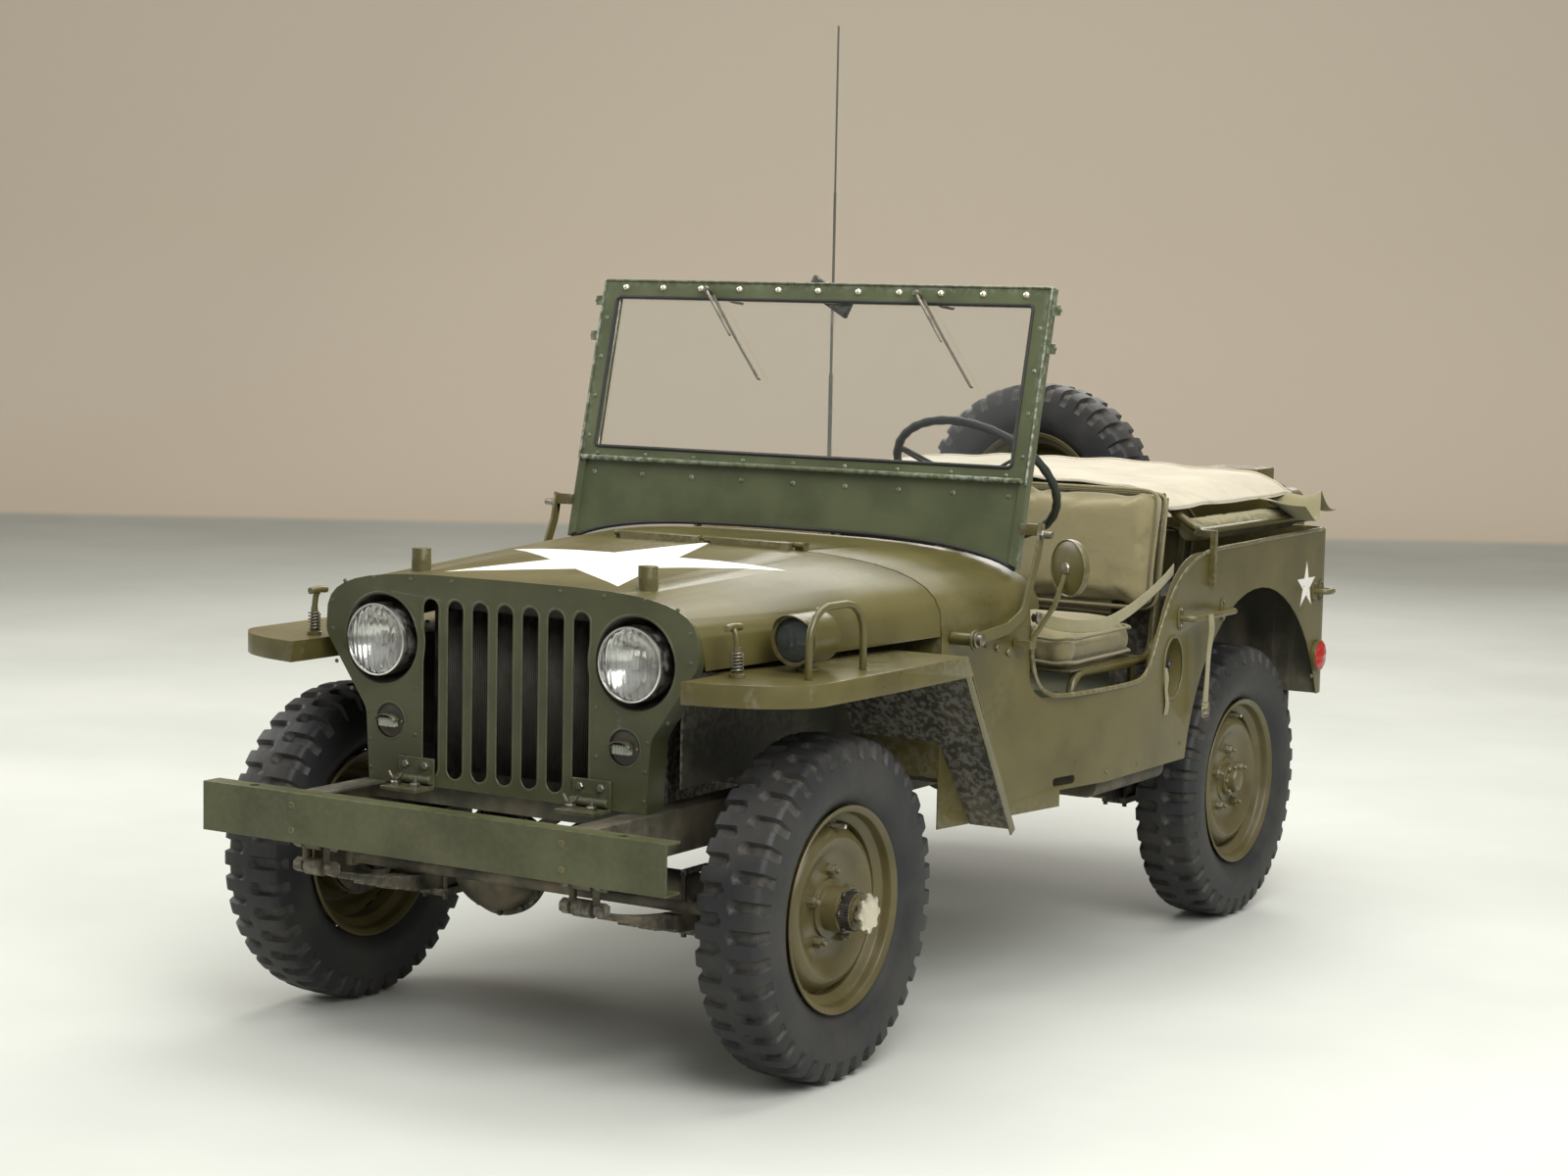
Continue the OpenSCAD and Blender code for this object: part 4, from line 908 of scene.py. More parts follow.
@dataclass
class Tyre:
    """Bar-tread tyre that stands in for a CAD tyre node."""

    node: str
    body: str
    across: bool = False
    bars: int = 38
    depth: float = 0.0125
    bead: float = 0.218

    def profile(self, width: float, radius: float, bead: float) -> Points:
        """Outside of the carcass from one bead to the other, as offset and radius.

        Straight spans between the corners are drawn first, then each point is averaged with its
        neighbours twice, which rounds the corners.
        """
        half = width / 2
        side = np.array([
            [half * 0.68, bead - 0.004], [half * 0.74, bead + 0.006], [half * 0.95, bead + 0.026],
            [half, radius - 0.075], [half * 0.985, radius - 0.045], [half * 0.90, radius - 0.012],
            [half * 0.76, radius - 0.0045], [half * 0.42, radius - 0.0008], [0.0, radius]])
        t = np.concatenate([np.linspace(0, 5, 14, endpoint=False), np.linspace(5, 8, 20)])
        line = np.stack([np.interp(t, np.arange(9), side[:, k]) for k in (0, 1)], -1)
        for _ in range(2):
            line[1:-1] = 0.25 * line[:-2] + 0.5 * line[1:-1] + 0.25 * line[2:]
        return np.vstack([line * [-1, 1], line[-2::-1]])

    def build(self) -> bpy.types.Object:
        """Builds the tyre.

        The carcass is the profile swept round the axle. Where the offset lies between the centre rib
        and the lower shoulder, a groove lowers the radius once for each bar, half a pitch later on the
        other side. A groove's floor has rounded ends, since it narrows towards the rib.

        Returns:
            The tyre.
        """
        low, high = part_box(self.node)
        low, high = np.array(low), np.array(high)
        centre, size = (low + high) / 2, high - low
        axis = 1 if self.across else 0
        width, radius = size[axis], size[2] / 2
        line = self.profile(width, radius, self.bead)
        turn = np.linspace(0, 2 * math.pi, self.bars * 12, endpoint=False)[:, None]
        offset, reach = line[None, :, 0], line[None, :, 1]
        phase = turn * self.bars / (2 * math.pi) + np.where(offset > 0, 0.5, 0.0)
        away = np.abs(phase % 1.0 - 0.5)
        rib = np.clip((np.abs(offset) - 0.009) / 0.004, 0, 1)
        neck = 0.215 * np.sqrt(np.clip((np.abs(offset) - 0.009) / 0.012, 0.0, 1.0))
        slot = np.clip((neck - away) / 0.07 + 0.5, 0, 1)
        lower = np.clip((reach - (radius - 0.046)) / 0.010, 0, 1)
        groove = slot * rib * lower
        fall = np.clip(1.0 - (radius - reach) / 0.060, 0.35, 1.0)
        reach = reach - groove * self.depth * fall
        pull = offset * (1.0 - groove * 0.075 * np.clip((np.abs(offset) - 0.05) / 0.02, 0, 1))
        ring = 0.0016 * np.exp(-(((reach - 0.262) / 0.0035) ** 2)) + 0.0013 * np.exp(
            -(((reach - 0.300) / 0.003) ** 2))
        pull = pull * (1 - ring * 2)
        first = np.cos(turn) * reach
        second = np.sin(turn) * reach
        base = np.zeros(first.shape)
        points = np.stack([base + pull, first, second], -1)
        if self.across:
            points = points[..., [1, 0, 2]]
        mesh_shape = Shape().grid(points + centre, wrap_u=True, wrap_v=True)
        piece = mesh_shape.build(f"{self.node}_tread", TREAD, self.body, "tyre_rubber", smooth=40)
        layer = piece.data.attributes.new("groove", "FLOAT", "POINT")
        if len(piece.data.vertices) == groove.size:
            layer.data.foreach_set("value", groove.astype(np.float32).ravel())
        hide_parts(self.node)
        return piece


@dataclass
class RunningWheel:
    """Pressed wheel with its hub, nuts and valve."""

    node: str
    body: str
    side: Side
    steered: bool
    nut_circle: float = 0.079

    def build(self) -> None:
        """Builds the wheel's shell and what is bolted to it."""
        low, high = (np.array(v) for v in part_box(self.node))
        centre = (low + high) / 2
        out = self.side.value
        middle = np.array([out * 0.616, centre[1], centre[2]])
        shell = dressed(self.node, WHEEL, self.body, 0.0016)
        axis = (out, 0, 0)
        if self.steered:
            p = coordinates(shell) - middle
            tip = out * p[:, 0] > 0.104
            p[tip] = p[tip] * [0, 0.7, 0.7] + [out * 0.106, 0, 0]
            put(shell, p + middle)
        angles = np.linspace(0, 2 * math.pi, 5, endpoint=False) + 0.3
        nuts = [middle + [out * 0.0258, self.nut_circle * math.cos(a), self.nut_circle * math.sin(a)]
            for a in angles]
        fittings = Shape().bolts(nuts, axis, 0.0125, 0.017)
        for nut in nuts:
            fittings.turned([[0.010, 0], [0.010, 0.006], [0.024, 0.006], [0.027, 0.004], [0.027, 0]], nut,
                axis, 14)
        fittings.build(f"{self.node}_nuts", WHEEL, self.body, "olive_drab_paint")
        valve = middle + [out * 0.030, 0.0, 0.172]
        Shape().turned([[-0.02, 0], [-0.02, 0.0042], [0.020, 0.0038], [0.021, 0.0052], [0.034, 0.0050],
            [0.036, 0]], valve, axis, 14).build(
            f"{self.node}_valve", BRIGHT, self.body, "olive_drab_paint")
        if self.steered:
            self.free_hub(middle, axis)
        else:
            ring = [middle + [out * 0.0415, 0.034 * math.cos(a), 0.034 * math.sin(a)]
                for a in np.arange(6) * math.pi / 3]
            hub = Shape().bolts(ring, axis, 0.0075, 0.007)
            hub.turned([[0.0585, 0], [0.0585, 0.0285], [0.064, 0.0265], [0.068, 0.016], [0.0695, 0]],
                middle, axis, 28)
            hub.build(f"{self.node}_hub_cap", WHEEL, self.body, "olive_drab_paint")

    def free_hub(self, middle: Points, axis: Sequence[float]) -> None:
        """Locking hub: ribbed barrel, bolted flange and an eight-lobed dial at its end.

        The dial's radius is a circle with eight cosine lobes.
        """
        out = axis[0]
        a = np.linspace(0, 2 * math.pi, 96, endpoint=False)[:, None]
        steps = np.array([[0.1118, 0.030], [0.1125, 0.0365], [0.1215, 0.0385], [0.1262, 0.0370],
            [0.1280, 0.030], [0.1268, 0.018], [0.1272, 0]])
        lobes = 1.0 + 0.10 * np.tanh(2.2 * np.cos(8 * a)) * (steps[None, :, 1] > 0.025)
        r = steps[None, :, 1] * lobes
        x = np.broadcast_to(steps[None, :, 0], r.shape) * out
        dial = np.stack([x, r * np.cos(a), r * np.sin(a)], -1) + middle
        Shape().grid(dial, wrap_u=True).build(f"{self.node}_dial", CAP, self.body, "olive_drab_paint",
            smooth=40)
        ring = [middle + [out * 0.0715, 0.040 * math.cos(t), 0.040 * math.sin(t)]
            for t in np.arange(6) * math.pi / 3]
        flange = Shape().bolts(ring, axis, 0.0075, 0.009)
        a = np.linspace(0, 2 * math.pi, 160, endpoint=False)[:, None]
        barrel = np.array([[0.073, 0.0384], [0.0745, 0.0400], [0.0965, 0.0395], [0.0978, 0.0380]])
        r = barrel[None, :, 1] + 0.0008 * np.sign(np.cos(40 * a))
        x = np.broadcast_to(barrel[None, :, 0], r.shape) * out
        flange.grid(np.stack([x, r * np.cos(a), r * np.sin(a)], -1) + middle, wrap_u=True)
        flange.build(f"{self.node}_hub_barrel", DARK, self.body, "olive_drab_paint", smooth=25)


# ---- Nose ----


@dataclass
class Nose:
    """Grille, lamps and what is fixed to them."""

    places: Places
    lamp: tuple[float, float, float] = (0.328, 0.858, 0.0995)
    marker: tuple[float, float, float] = (0.304, 0.684, 0.0395)
    slots: int = 7
    pitch: float = 0.065
    width: float = 0.046
    foot: float = 0.572
    top: float = 0.955

    def build(self) -> None:
        """Builds the nose."""
        self.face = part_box("grille")[0][1]
        dressed("grille", NOSE, "car", 0.0016)
        self.rolled_edges()
        for side in Side:
            self.headlamp(side)
            self.marker_lamp(side)
        self.core()
        self.fixings()

    def rolled_edges(self) -> None:
        """Rolled rims round the slots and openings: a thin tube carried round each outline.

        A slot's outline is two half circles joined by straight sides. Beside a headlamp the outer
        slots are pulled in by the lamp's circle.
        """
        shape = Shape()
        a = np.linspace(-math.pi / 2, math.pi / 2, 13)
        r = self.width / 2
        for number in range(self.slots):
            x = (number - (self.slots - 1) / 2) * self.pitch
            upper = np.stack([x - r * np.sin(a), np.full(13, self.top - r) + r * np.cos(a)], -1)
            lower = np.stack([x + r * np.sin(a), np.full(13, self.foot + r) - r * np.cos(a)], -1)
            left = np.stack([np.full(22, x - r), np.linspace(self.top - r, self.foot + r, 22)], -1)
            right = np.stack([np.full(22, x + r), np.linspace(self.foot + r, self.top - r, 22)], -1)
            line = self.clear_lamps(np.vstack([upper, left[1:-1], lower, right[1:-1]]))
            line = np.vstack([line, line[:1]])
            self.rim(shape, line, 0.0032)
        for x, z, radius in [(s.value * self.lamp[0], *self.lamp[1:])
                for s in Side] + [(s.value * self.marker[0], *self.marker[1:]) for s in Side]:
            t = np.linspace(0, 2 * math.pi, 57)
            self.rim(shape, np.stack([x + radius * np.cos(t), z + radius * np.sin(t)], -1), 0.0028)
        shape.build("grille_rolled_edges", NOSE, "car", "olive_drab_paint", smooth=60)

    def clear_lamps(self, line: Points) -> Points:
        """Pushes points that lie inside a lamp's clear ring out to it, sideways.

        Args:
            line: outline as rows of x and height.

        Returns:
            The outline with its concave flank.
        """
        line = line.copy()
        ring = self.lamp[2] + 0.015
        for side in Side:
            dx = line[:, 0] - side.value * self.lamp[0]
            dz = line[:, 1] - self.lamp[1]
            inside = dx**2 + dz**2 < ring**2
            line[inside, 0] = side.value * (self.lamp[0] - np.sqrt(ring**2 - dz[inside] ** 2))
        return line

    def rim(self, shape: Shape, line: Points, radius: float) -> None:
        """Adds a closed thin tube that follows an outline just on the grille's face."""
        path = np.stack([line[:-1, 0], np.full(len(line) - 1, self.face + 0.0008), line[:-1, 1]], -1)
        after, before = np.roll(path, -1, 0), np.roll(path, 1, 0)
        along = unit(after - before)
        side = unit(np.cross([0.0, 1.0, 0.0], along))
        a = np.linspace(0, 2 * math.pi, 8, endpoint=False)[None, :, None]
        ring = path[:, None] + radius * (np.cos(a) * side[:, None] + 0.62 * np.sin(a)
            * np.array([0.0, 1.0, 0.0]))
        shape.grid(ring, wrap_u=True, wrap_v=True)

    def headlamp(self, side: Side) -> None:
        """Sealed headlamp in its black pan, with a thin bezel and a domed, fluted lens."""
        label = side.name.lower()
        x, z, hole = side.value * self.lamp[0], self.lamp[1], self.lamp[2]
        face = self.face
        centre = (x, face, z)
        Shape().turned([[0.0035, hole + 0.008], [0.0035, hole - 0.004], [0.030, hole - 0.008],
            [0.058, hole - 0.03], [0.060, 0.0]], centre, (0, 1, 0), 64).build(
            f"{label}_lamp_pan", DARK, "car", "dark_chassis_paint", thick=0.002, replaces="headlamps")
        Shape().turned([[-0.012, 0.0715], [-0.018, 0.0720], [-0.0215, 0.0735], [-0.0205, 0.0770],
            [-0.012, 0.0790], [0.030, 0.0775], [0.032, 0.0715]], centre, (0, 1, 0), 64).build(
            f"{label}_lamp_bezel", BRIGHT, "car", "dark_chassis_paint", smooth=50)
        t = np.linspace(0, 1, 14)
        bowl = np.stack([-0.010 + 0.046 * (1 - t**2), 0.072 * t], -1)
        Shape().turned(bowl[::-1], centre, (0, 1, 0), 48).build(f"{label}_lamp_reflector", BRIGHT, "car",
            "dark_chassis_paint", thick=0.001, smooth=60)
        front = np.stack([-0.0185 - 0.011 * (1 - t**2), 0.0716 * t], -1)
        back = front[::-1] + [0.0035, 0.0]
        Shape().turned(np.vstack([front, back]), centre, (0, 1, 0), 64).build(f"{label}_lamp_glass", LENS,
            "car", "lamp_glass", smooth=60)
        Shape().turned([[-0.002, 0], [-0.002, 0.012], [0.008, 0.017], [0.020, 0.012], [0.022, 0]], centre,
            (0, 1, 0), 20).build(
            f"{label}_lamp_bulb_shield", BRIGHT, "car", "dark_chassis_paint", smooth=60)

    def marker_lamp(self, side: Side) -> None:
        """Small marker lamp: black cup, hooded oblong lens and two screws."""
        label = side.name.lower()
        x, z, hole = side.value * self.marker[0], self.marker[1], self.marker[2]
        face = self.face
        Shape().turned([[0.0035, hole + 0.002], [0.004, hole - 0.003], [0.0015, hole - 0.007], [0.001, 0]],
            (x, face, z), (0, 1, 0), 40).build(
            f"{label}_marker_body", DARK, "car", "dark_chassis_paint", smooth=50, replaces="marker_lamps")
        lens = Shape().box((x - 0.021, face - 0.014, z - 0.012), (x + 0.021, face + 0.002, z + 0.008))
        lens.build(f"{label}_marker_lens", FROSTED, "car", "lamp_glass", bevel=0.002)
        t = np.linspace(0, math.pi, 15)
        hood = np.stack([x + 0.026 * np.cos(t), np.full(15, face), z + 0.002 + 0.013 * np.sin(t)], -1)
        fore = hood - [0.0, 0.022, 0.0]
        Shape().grid(np.stack([hood, fore])).build(f"{label}_marker_hood", NOSE, "car", "olive_drab_paint",
            thick=0.0015)
        screws = [(x - 0.031, face + 0.001, z), (x + 0.031, face + 0.001, z)]
        Shape().bolts(screws, (0, -1, 0), 0.004, 0.003, 12).build(f"{label}_marker_screws", STEEL, "car",
            "olive_drab_paint")

    def core(self) -> None:
        """Radiator: frame, upright tubes and a folded fin sheet whose depth is a triangle wave."""
        low, high = (np.array(v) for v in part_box("radiator"))
        dressed("radiator", DARK, "car", 0.003)
        face = low[1] - 0.002
        x = np.linspace(low[0] + 0.02, high[0] - 0.02, 361)
        z = np.array([low[2] + 0.03, high[2] - 0.03])
        depth = face - 0.004 * np.abs((np.arange(361) % 4) / 2 - 1)
        fins = np.stack([np.broadcast_to(x[:, None], (361, 2)), np.broadcast_to(depth[:, None], (361, 2)),
            np.broadcast_to(z, (361, 2))], -1)
        Shape().grid(fins).build("radiator_fins", DARK, "car", "dark_chassis_paint", thick=0.0004,
            smooth=10)

    def fixings(self) -> None:
        """Rivets round the panel, and the two hinged feet with their wing nuts."""
        face = self.face - 0.0002
        rivets = [(s * x, face, z) for s in (-1, 1) for x, z in (
            (0.462, 0.87), (0.462, 0.93), (0.43, 0.975), (0.35, 0.988), (0.25, 0.990), (0.14, 0.992),
            (0.452, 0.80), (0.41, 0.745),
            (0.362, 0.70), (0.357, 0.64), (0.355, 0.58), (0.235, 0.76), (0.235, 0.66), (0.24, 0.575))]
        Shape().bolts(rivets, (0, -1, 0), 0.0048, 0.0028, 12).build("grille_rivets", NOSE, "car",
            "olive_drab_paint")
        for side in Side:
            x = side.value * 0.228
            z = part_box("grille")[0][2]
            foot = Shape().box((x - 0.048, face - 0.006, z + 0.002), (x + 0.048, face - 0.001, z + 0.060))
            foot.box((x - 0.048, face - 0.066, z - 0.006), (x + 0.048, face - 0.002, z + 0.003))
            foot.pipe([(x - 0.046, face - 0.012, z + 0.014), (x + 0.046, face - 0.012, z + 0.014)], 0.009,
                14)
            foot.build(f"{side.name.lower()}_grille_foot", NOSE, "car", "olive_drab_paint", bevel=0.0015)
            bolt = Shape()
            for dx in (-0.026, 0.026):
                bolt.bolts([(x + dx, face - 0.040, z + 0.003)], (0, 0, 1), 0.011, 0.009)
                bolt.turned([[0, 0], [0, 0.0045], [0.022, 0.0045], [0.024, 0]],
                    (x + dx, face - 0.040, z + 0.003), (0, 0, 1), 12)
                bolt.bolts([(x + dx, face - 0.006, z + 0.044)], (0, -1, 0), 0.009, 0.007)
            wing = np.array([[x - 0.019, face - 0.040, z + 0.030], [x - 0.008, face - 0.040, z + 0.017],
                [x + 0.008, face - 0.040, z + 0.017], [x + 0.019, face - 0.040, z + 0.030]])
            bolt.pipe(smooth_path(wing + [-0.026, 0, 0], 14), 0.0032, 8, (0, 1, 0))
            bolt.build(f"{side.name.lower()}_grille_foot_bolts", STEEL, "car", "olive_drab_paint")


@dataclass
class Bonnet:
    """Hood with its painted star, rubber stops and catches."""

    places: Places

    def build(self) -> None:
        """Builds the hood."""
        y = self.places.front + 0.14
        star = Star((0.0, y), 0.385, (0, 1), math.pi / 2, 0.90)
        paint = Paint("olive_hood", OLIVE, 0.34, 0.10, 0.14, star)
        dressed("hood", paint, "hood", 0.0015)
        stops = Shape()
        for x in (-0.2945, 0.2945):
            profile = [[-0.004, 0], [-0.004, 0.0212], [0.030, 0.0212], [0.044, 0.0195], [0.054, 0.014],
                [0.0578, 0.006], [0.0585, 0]]
            stops.turned(profile, self.places.at(x, -0.162, 0.9895), (0, 0, 1), 28)
        stops.build("hood_stops", BODY, "hood", "olive_drab_paint", smooth=50)
        for side in Side:
            self.catch(side)

    def catch(self, side: Side) -> None:
        """Spring catch on the fender: post, coil spring and T-shaped grip that hooks the hood."""
        s = side.value
        at = self.places.at
        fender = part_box("front_fenders")[1][2]
        x, station = 0.548, -0.215
        shape = Shape()
        shape.turned([[0, 0], [0, 0.016], [0.006, 0.016], [0.010, 0.009], [0.060, 0.0075], [0.062, 0]],
            at(s * x, station, fender + 0.0005), (0, 0, 1), 18)
        path = smooth_path([at(s * x, station, fender + 0.058),
            at(s * (x - 0.004), station, fender + 0.085), at(s * (x - 0.012), station, fender + 0.098)], 14)
        shape.pipe(path, 0.0065, 12, (0, 1, 0))
        grip = [at(s * (x - 0.010), station - 0.026, fender + 0.098),
            at(s * (x - 0.012), station, fender + 0.100),
            at(s * (x - 0.010), station + 0.026, fender + 0.098)]
        shape.pipe(smooth_path(grip, 14), 0.0075, 12)
        shape.build(f"{side.name.lower()}_hood_catch", BODY, "car", "olive_drab_paint", smooth=50)
        turns = np.linspace(0, 12 * math.pi, 160)
        coil = np.stack([0.0125 * np.cos(turns), 0.0125 * np.sin(turns), np.linspace(0.010, 0.050, 160)],
            -1)
        Shape().pipe(coil + at(s * x, station, fender), 0.0019,
            6).build(f"{side.name.lower()}_catch_spring", STEEL, "car", "olive_drab_paint", smooth=60)


@dataclass
class Front:
    """Bumper, fenders and blackout lamp."""

    places: Places

    def build(self) -> None:
        """Builds the front end."""
        dressed("front_bumper", Paint("olive_bumper", (0.056, 0.062, 0.021), 0.38, 0.14, 0.22), "car",
            0.0025)
        self.fenders()
        dressed("blackout_lamp", BODY, "car", 0.0012, smooth=50)
        self.blackout()
        self.bumper_bolts()

    def fenders(self) -> None:
        """Fenders whose downward-facing and inboard faces take the dark chassis paint as painted shade, and
        whose front corners are rounded in plan.

        The mesh is cut into strips round each corner. There a point (a, b), counted in radii from the
        arc's centre, moves to (a sqrt(1 - b^2 / 2), b sqrt(1 - a^2 / 2)), which maps a square on a disc.
        """
        low, high = (np.array(v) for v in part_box("front_fenders"))
        radius = 0.17
        side, nose = high[0] - radius, low[1] + radius
        piece = dressed("front_fenders", BODY, "car", 0.0016)
        work = bmesh.new()
        work.from_mesh(piece.data)
        for step in np.linspace(0, radius, 13)[:-1]:
            for x, y, normal in ((side + step, 0, (1, 0, 0)), (-side - step, 0, (1, 0, 0)),
                    (0, nose - step, (0, 1, 0))):
                bmesh.ops.bisect_plane(work, geom=[*work.verts, *work.edges, *work.faces],
                    plane_co=(x, y, 0), plane_no=normal)
        work.to_mesh(piece.data)
        work.free()
        p = coordinates(piece)
        a = np.clip((np.abs(p[:, 0]) - side) / radius, 0, 1)
        b = np.clip((nose - p[:, 1]) / radius, 0, 1)
        near = (a > 0) & (b > 0)
        p[near, 0] = np.sign(p[near, 0]) * (side + radius * (a * np.sqrt(1 - b**2 / 2))[near])
        p[near, 1] = nose - radius * (b * np.sqrt(1 - a**2 / 2))[near]
        put(piece, p)
        # Painted shade: the fenders' downward and inboard faces get the dark chassis paint.
        paint_shade_under_and_inboard(piece, -0.15)

    def blackout(self) -> None:
        """Blackout lamp's face: dark glass behind a hooded slit, rim and clamp bolt."""
        centre = self.places.at(0.600, -0.079, 0.913)
        Shape().turned([[0.004, 0.0505], [-0.004, 0.0530], [-0.010, 0.0525], [-0.010, 0.0455],
            [0.002, 0.0445]], centre, (0, 1, 0), 48).build(
            "blackout_rim", BODY, "car", "olive_drab_paint", smooth=50)
        t = np.linspace(0, 1, 10)
        Shape().turned(np.stack([-0.004 - 0.009 * (1 - t**2), 0.045 * t], -1)[::-1], centre, (0, 1, 0),
            40).build(
            "blackout_glass", Pane("dark_glass", (0.05, 0.06, 0.06), 0.3), "car", "lamp_glass", thick=0.002,
            smooth=60)
        a = np.linspace(0.15, math.pi - 0.15, 25)[:, None]
        depth = np.linspace(0, 1, 6)[None]
        hood = np.stack([centre[0] + (0.0515 + 0 * depth) * np.cos(a),
            centre[1] - 0.030 * depth * np.sin(a), centre[2] + 0.0515 * np.sin(a) + 0 * depth], -1)
        Shape().grid(hood).build("blackout_hood", BODY, "car", "olive_drab_paint", thick=0.0022, smooth=60)
        Shape().bolts([self.places.at(0.600, 0.013, 0.964)], (0, 0, 1), 0.008, 0.007).build("blackout_bolt",
            STEEL, "car", "olive_drab_paint")

    def bumper_bolts(self) -> None:
        """Bolt heads on the bumper's face."""
        low, high = (np.array(v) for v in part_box("front_bumper"))
        z = (low[2] + high[2]) / 2
        spots = [(s * x, low[1], z + dz) for s in (-1, 1) for x in (0.345,) for dz in (-0.026, 0.026)]
        Shape().bolts(spots, (0, -1, 0), 0.0085, 0.005, 14).build("bumper_bolts", BODY, "car",
            "olive_drab_paint")


# ---- Tub ----


@dataclass
class Tub:
    """Open body: sides, floor, cowl, handles, tool recess and small fittings."""

    places: Places

    def build(self) -> None:
        """Builds the tub."""
        station = self.places.front
        star = Star((station + 2.339, 0.851), 0.066, (1, 2), math.pi / 2, 0.60)
        sides = Paint("olive_sides", OLIVE, 0.31, 0.08, 0.12, star)
        dressed("body_sides", sides, "car", 0.0012)
        for node, finish in {"rear_panel": BODY, "wheel_boxes": UNDER, "cowl": BODY,
                "floor_pan": FLOOR}.items():
            dressed(node, finish, "car", 0.0012)
        dressed("grab_handles", BODY, "car", 0.0, smooth=60)
        dressed("side_mirror", BODY, "car", 0.0012, smooth=50)
        dressed("radio_antenna", UNDER, "car", 0.0, smooth=50)
        self.top_rail()
        self.handle_feet()
        self.tool_recess()
        self.mirror_face()
        self.reflectors()
        self.small_bolts()
        self.instruments()

    def top_rail(self) -> None:
        """Rolled rim along the door opening and the top rail: a tube carried along the panel's edge."""
        edge = [(0.6735, 0.8275, 0.868), (0.6735, 0.8275, 0.800), (0.680, 0.842, 0.742),
            (0.690, 0.876, 0.712), (0.703, 0.940, 0.7005),
                (0.7235, 1.130, 0.6985), (0.7235, 1.270, 0.6985), (0.7235, 1.318, 0.706),
                (0.7235, 1.352, 0.728), (0.7235, 1.385, 0.775),
                (0.7235, 1.420, 0.830), (0.7235, 1.470, 0.892), (0.7235, 1.530, 0.938),
                (0.7235, 1.610, 0.971), (0.7235, 1.720, 0.987),
                (0.7235, 1.960, 0.9915), (0.7235, 2.200, 0.9955), (0.7235, 2.440, 0.9980)]
        for side in Side:
            line = self.places.line(edge) * [side.value, 1, 1]
            Shape().pipe(smooth_path(line, 170), 0.0058, 10, (1, 0, 0)).build(
                f"{side.name.lower()}_rolled_rim", Paint("rim_paint", OLIVE, 0.34, 1.1, 0.1), "car",
                "olive_drab_paint", smooth=60)

    def handle_feet(self) -> None:
        """Oval foot plates with two bolts under each end of the side handles."""
        for side in Side:
            shape, bolts = Shape(), Shape()
            for station in (1.520, 1.780, 2.395, 2.445):
                spot = self.places.at(side.value * 0.7252, station, 0.832)
                a = np.linspace(0, 2 * math.pi, 28, endpoint=False)
                face = np.stack([np.zeros(28), 0.017 * np.cos(a), 0.030 * np.sin(a)], -1) + spot
                shape.grid(np.stack([face, face + [side.value * 0.003, 0, 0]]), wrap_v=True, caps=True)
                bolts.bolts([spot + [side.value * 0.003, 0, dz] for dz in (-0.020, 0.020)],
                    (side.value, 0, 0), 0.0055, 0.004)
            shape.build(f"{side.name.lower()}_handle_feet", BODY, "car", "olive_drab_paint", bevel=0.0008)
            bolts.build(f"{side.name.lower()}_handle_bolts", STEEL, "car", "olive_drab_paint")

    def tool_recess(self) -> None:
        """Rim of each oval recess, and by the left one a round clamp with its bolt, a flat bar and a
        hanging strap.
        """
        a = np.linspace(0, 2 * math.pi, 60, endpoint=False)
        for side in Side:
            centre = self.places.at(side.value * 0.7255, 1.490, 0.713)
            ring = np.stack([np.zeros(60), 0.055 * np.cos(a), 0.076 * np.sin(a)], -1) + centre
            out = np.stack([np.zeros(60), np.cos(a), np.sin(a)], -1)
            t = np.linspace(0, 2 * math.pi, 8, endpoint=False)[None, :, None]
            tube = ring[:, None] + 0.0038 * (np.cos(t) * out[:, None] + 0.7 * np.sin(t)
                * np.array([1.0, 0, 0]))
            Shape().grid(tube, wrap_u=True, wrap_v=True).build(f"{side.name.lower()}_recess_rim", BODY,
                "car", "olive_drab_paint", smooth=60)
        clamp = Shape()
        centre = self.places.at(0.700, 1.482, 0.720)
        clamp.turned([[-0.020, 0], [-0.020, 0.026], [0.004, 0.026], [0.012, 0.020], [0.014, 0]], centre,
            (1, 0, 0), 30)
        clamp.bolts([centre + [0.013, 0, 0]], (1, 0, 0), 0.010, 0.010)
        clamp.box(self.places.at(0.684, 1.470, 0.655), self.places.at(0.694, 1.505, 0.775))
        clamp.build("tool_clamp", DARK, "car", "olive_drab_paint", bevel=0.001)
        strap = self.places.line([(0.7265, 1.440, 0.716), (0.7275, 1.448, 0.690), (0.7280, 1.446, 0.660),
            (0.7290, 1.452, 0.628), (0.7270, 1.449, 0.600)])
        Shape().ribbon(smooth_path(strap, 26), (0, 1, 0), 0.020, 0.0022, 0.0008).build("recess_strap",
            WEBBING, "car", "seat_canvas", smooth=50)

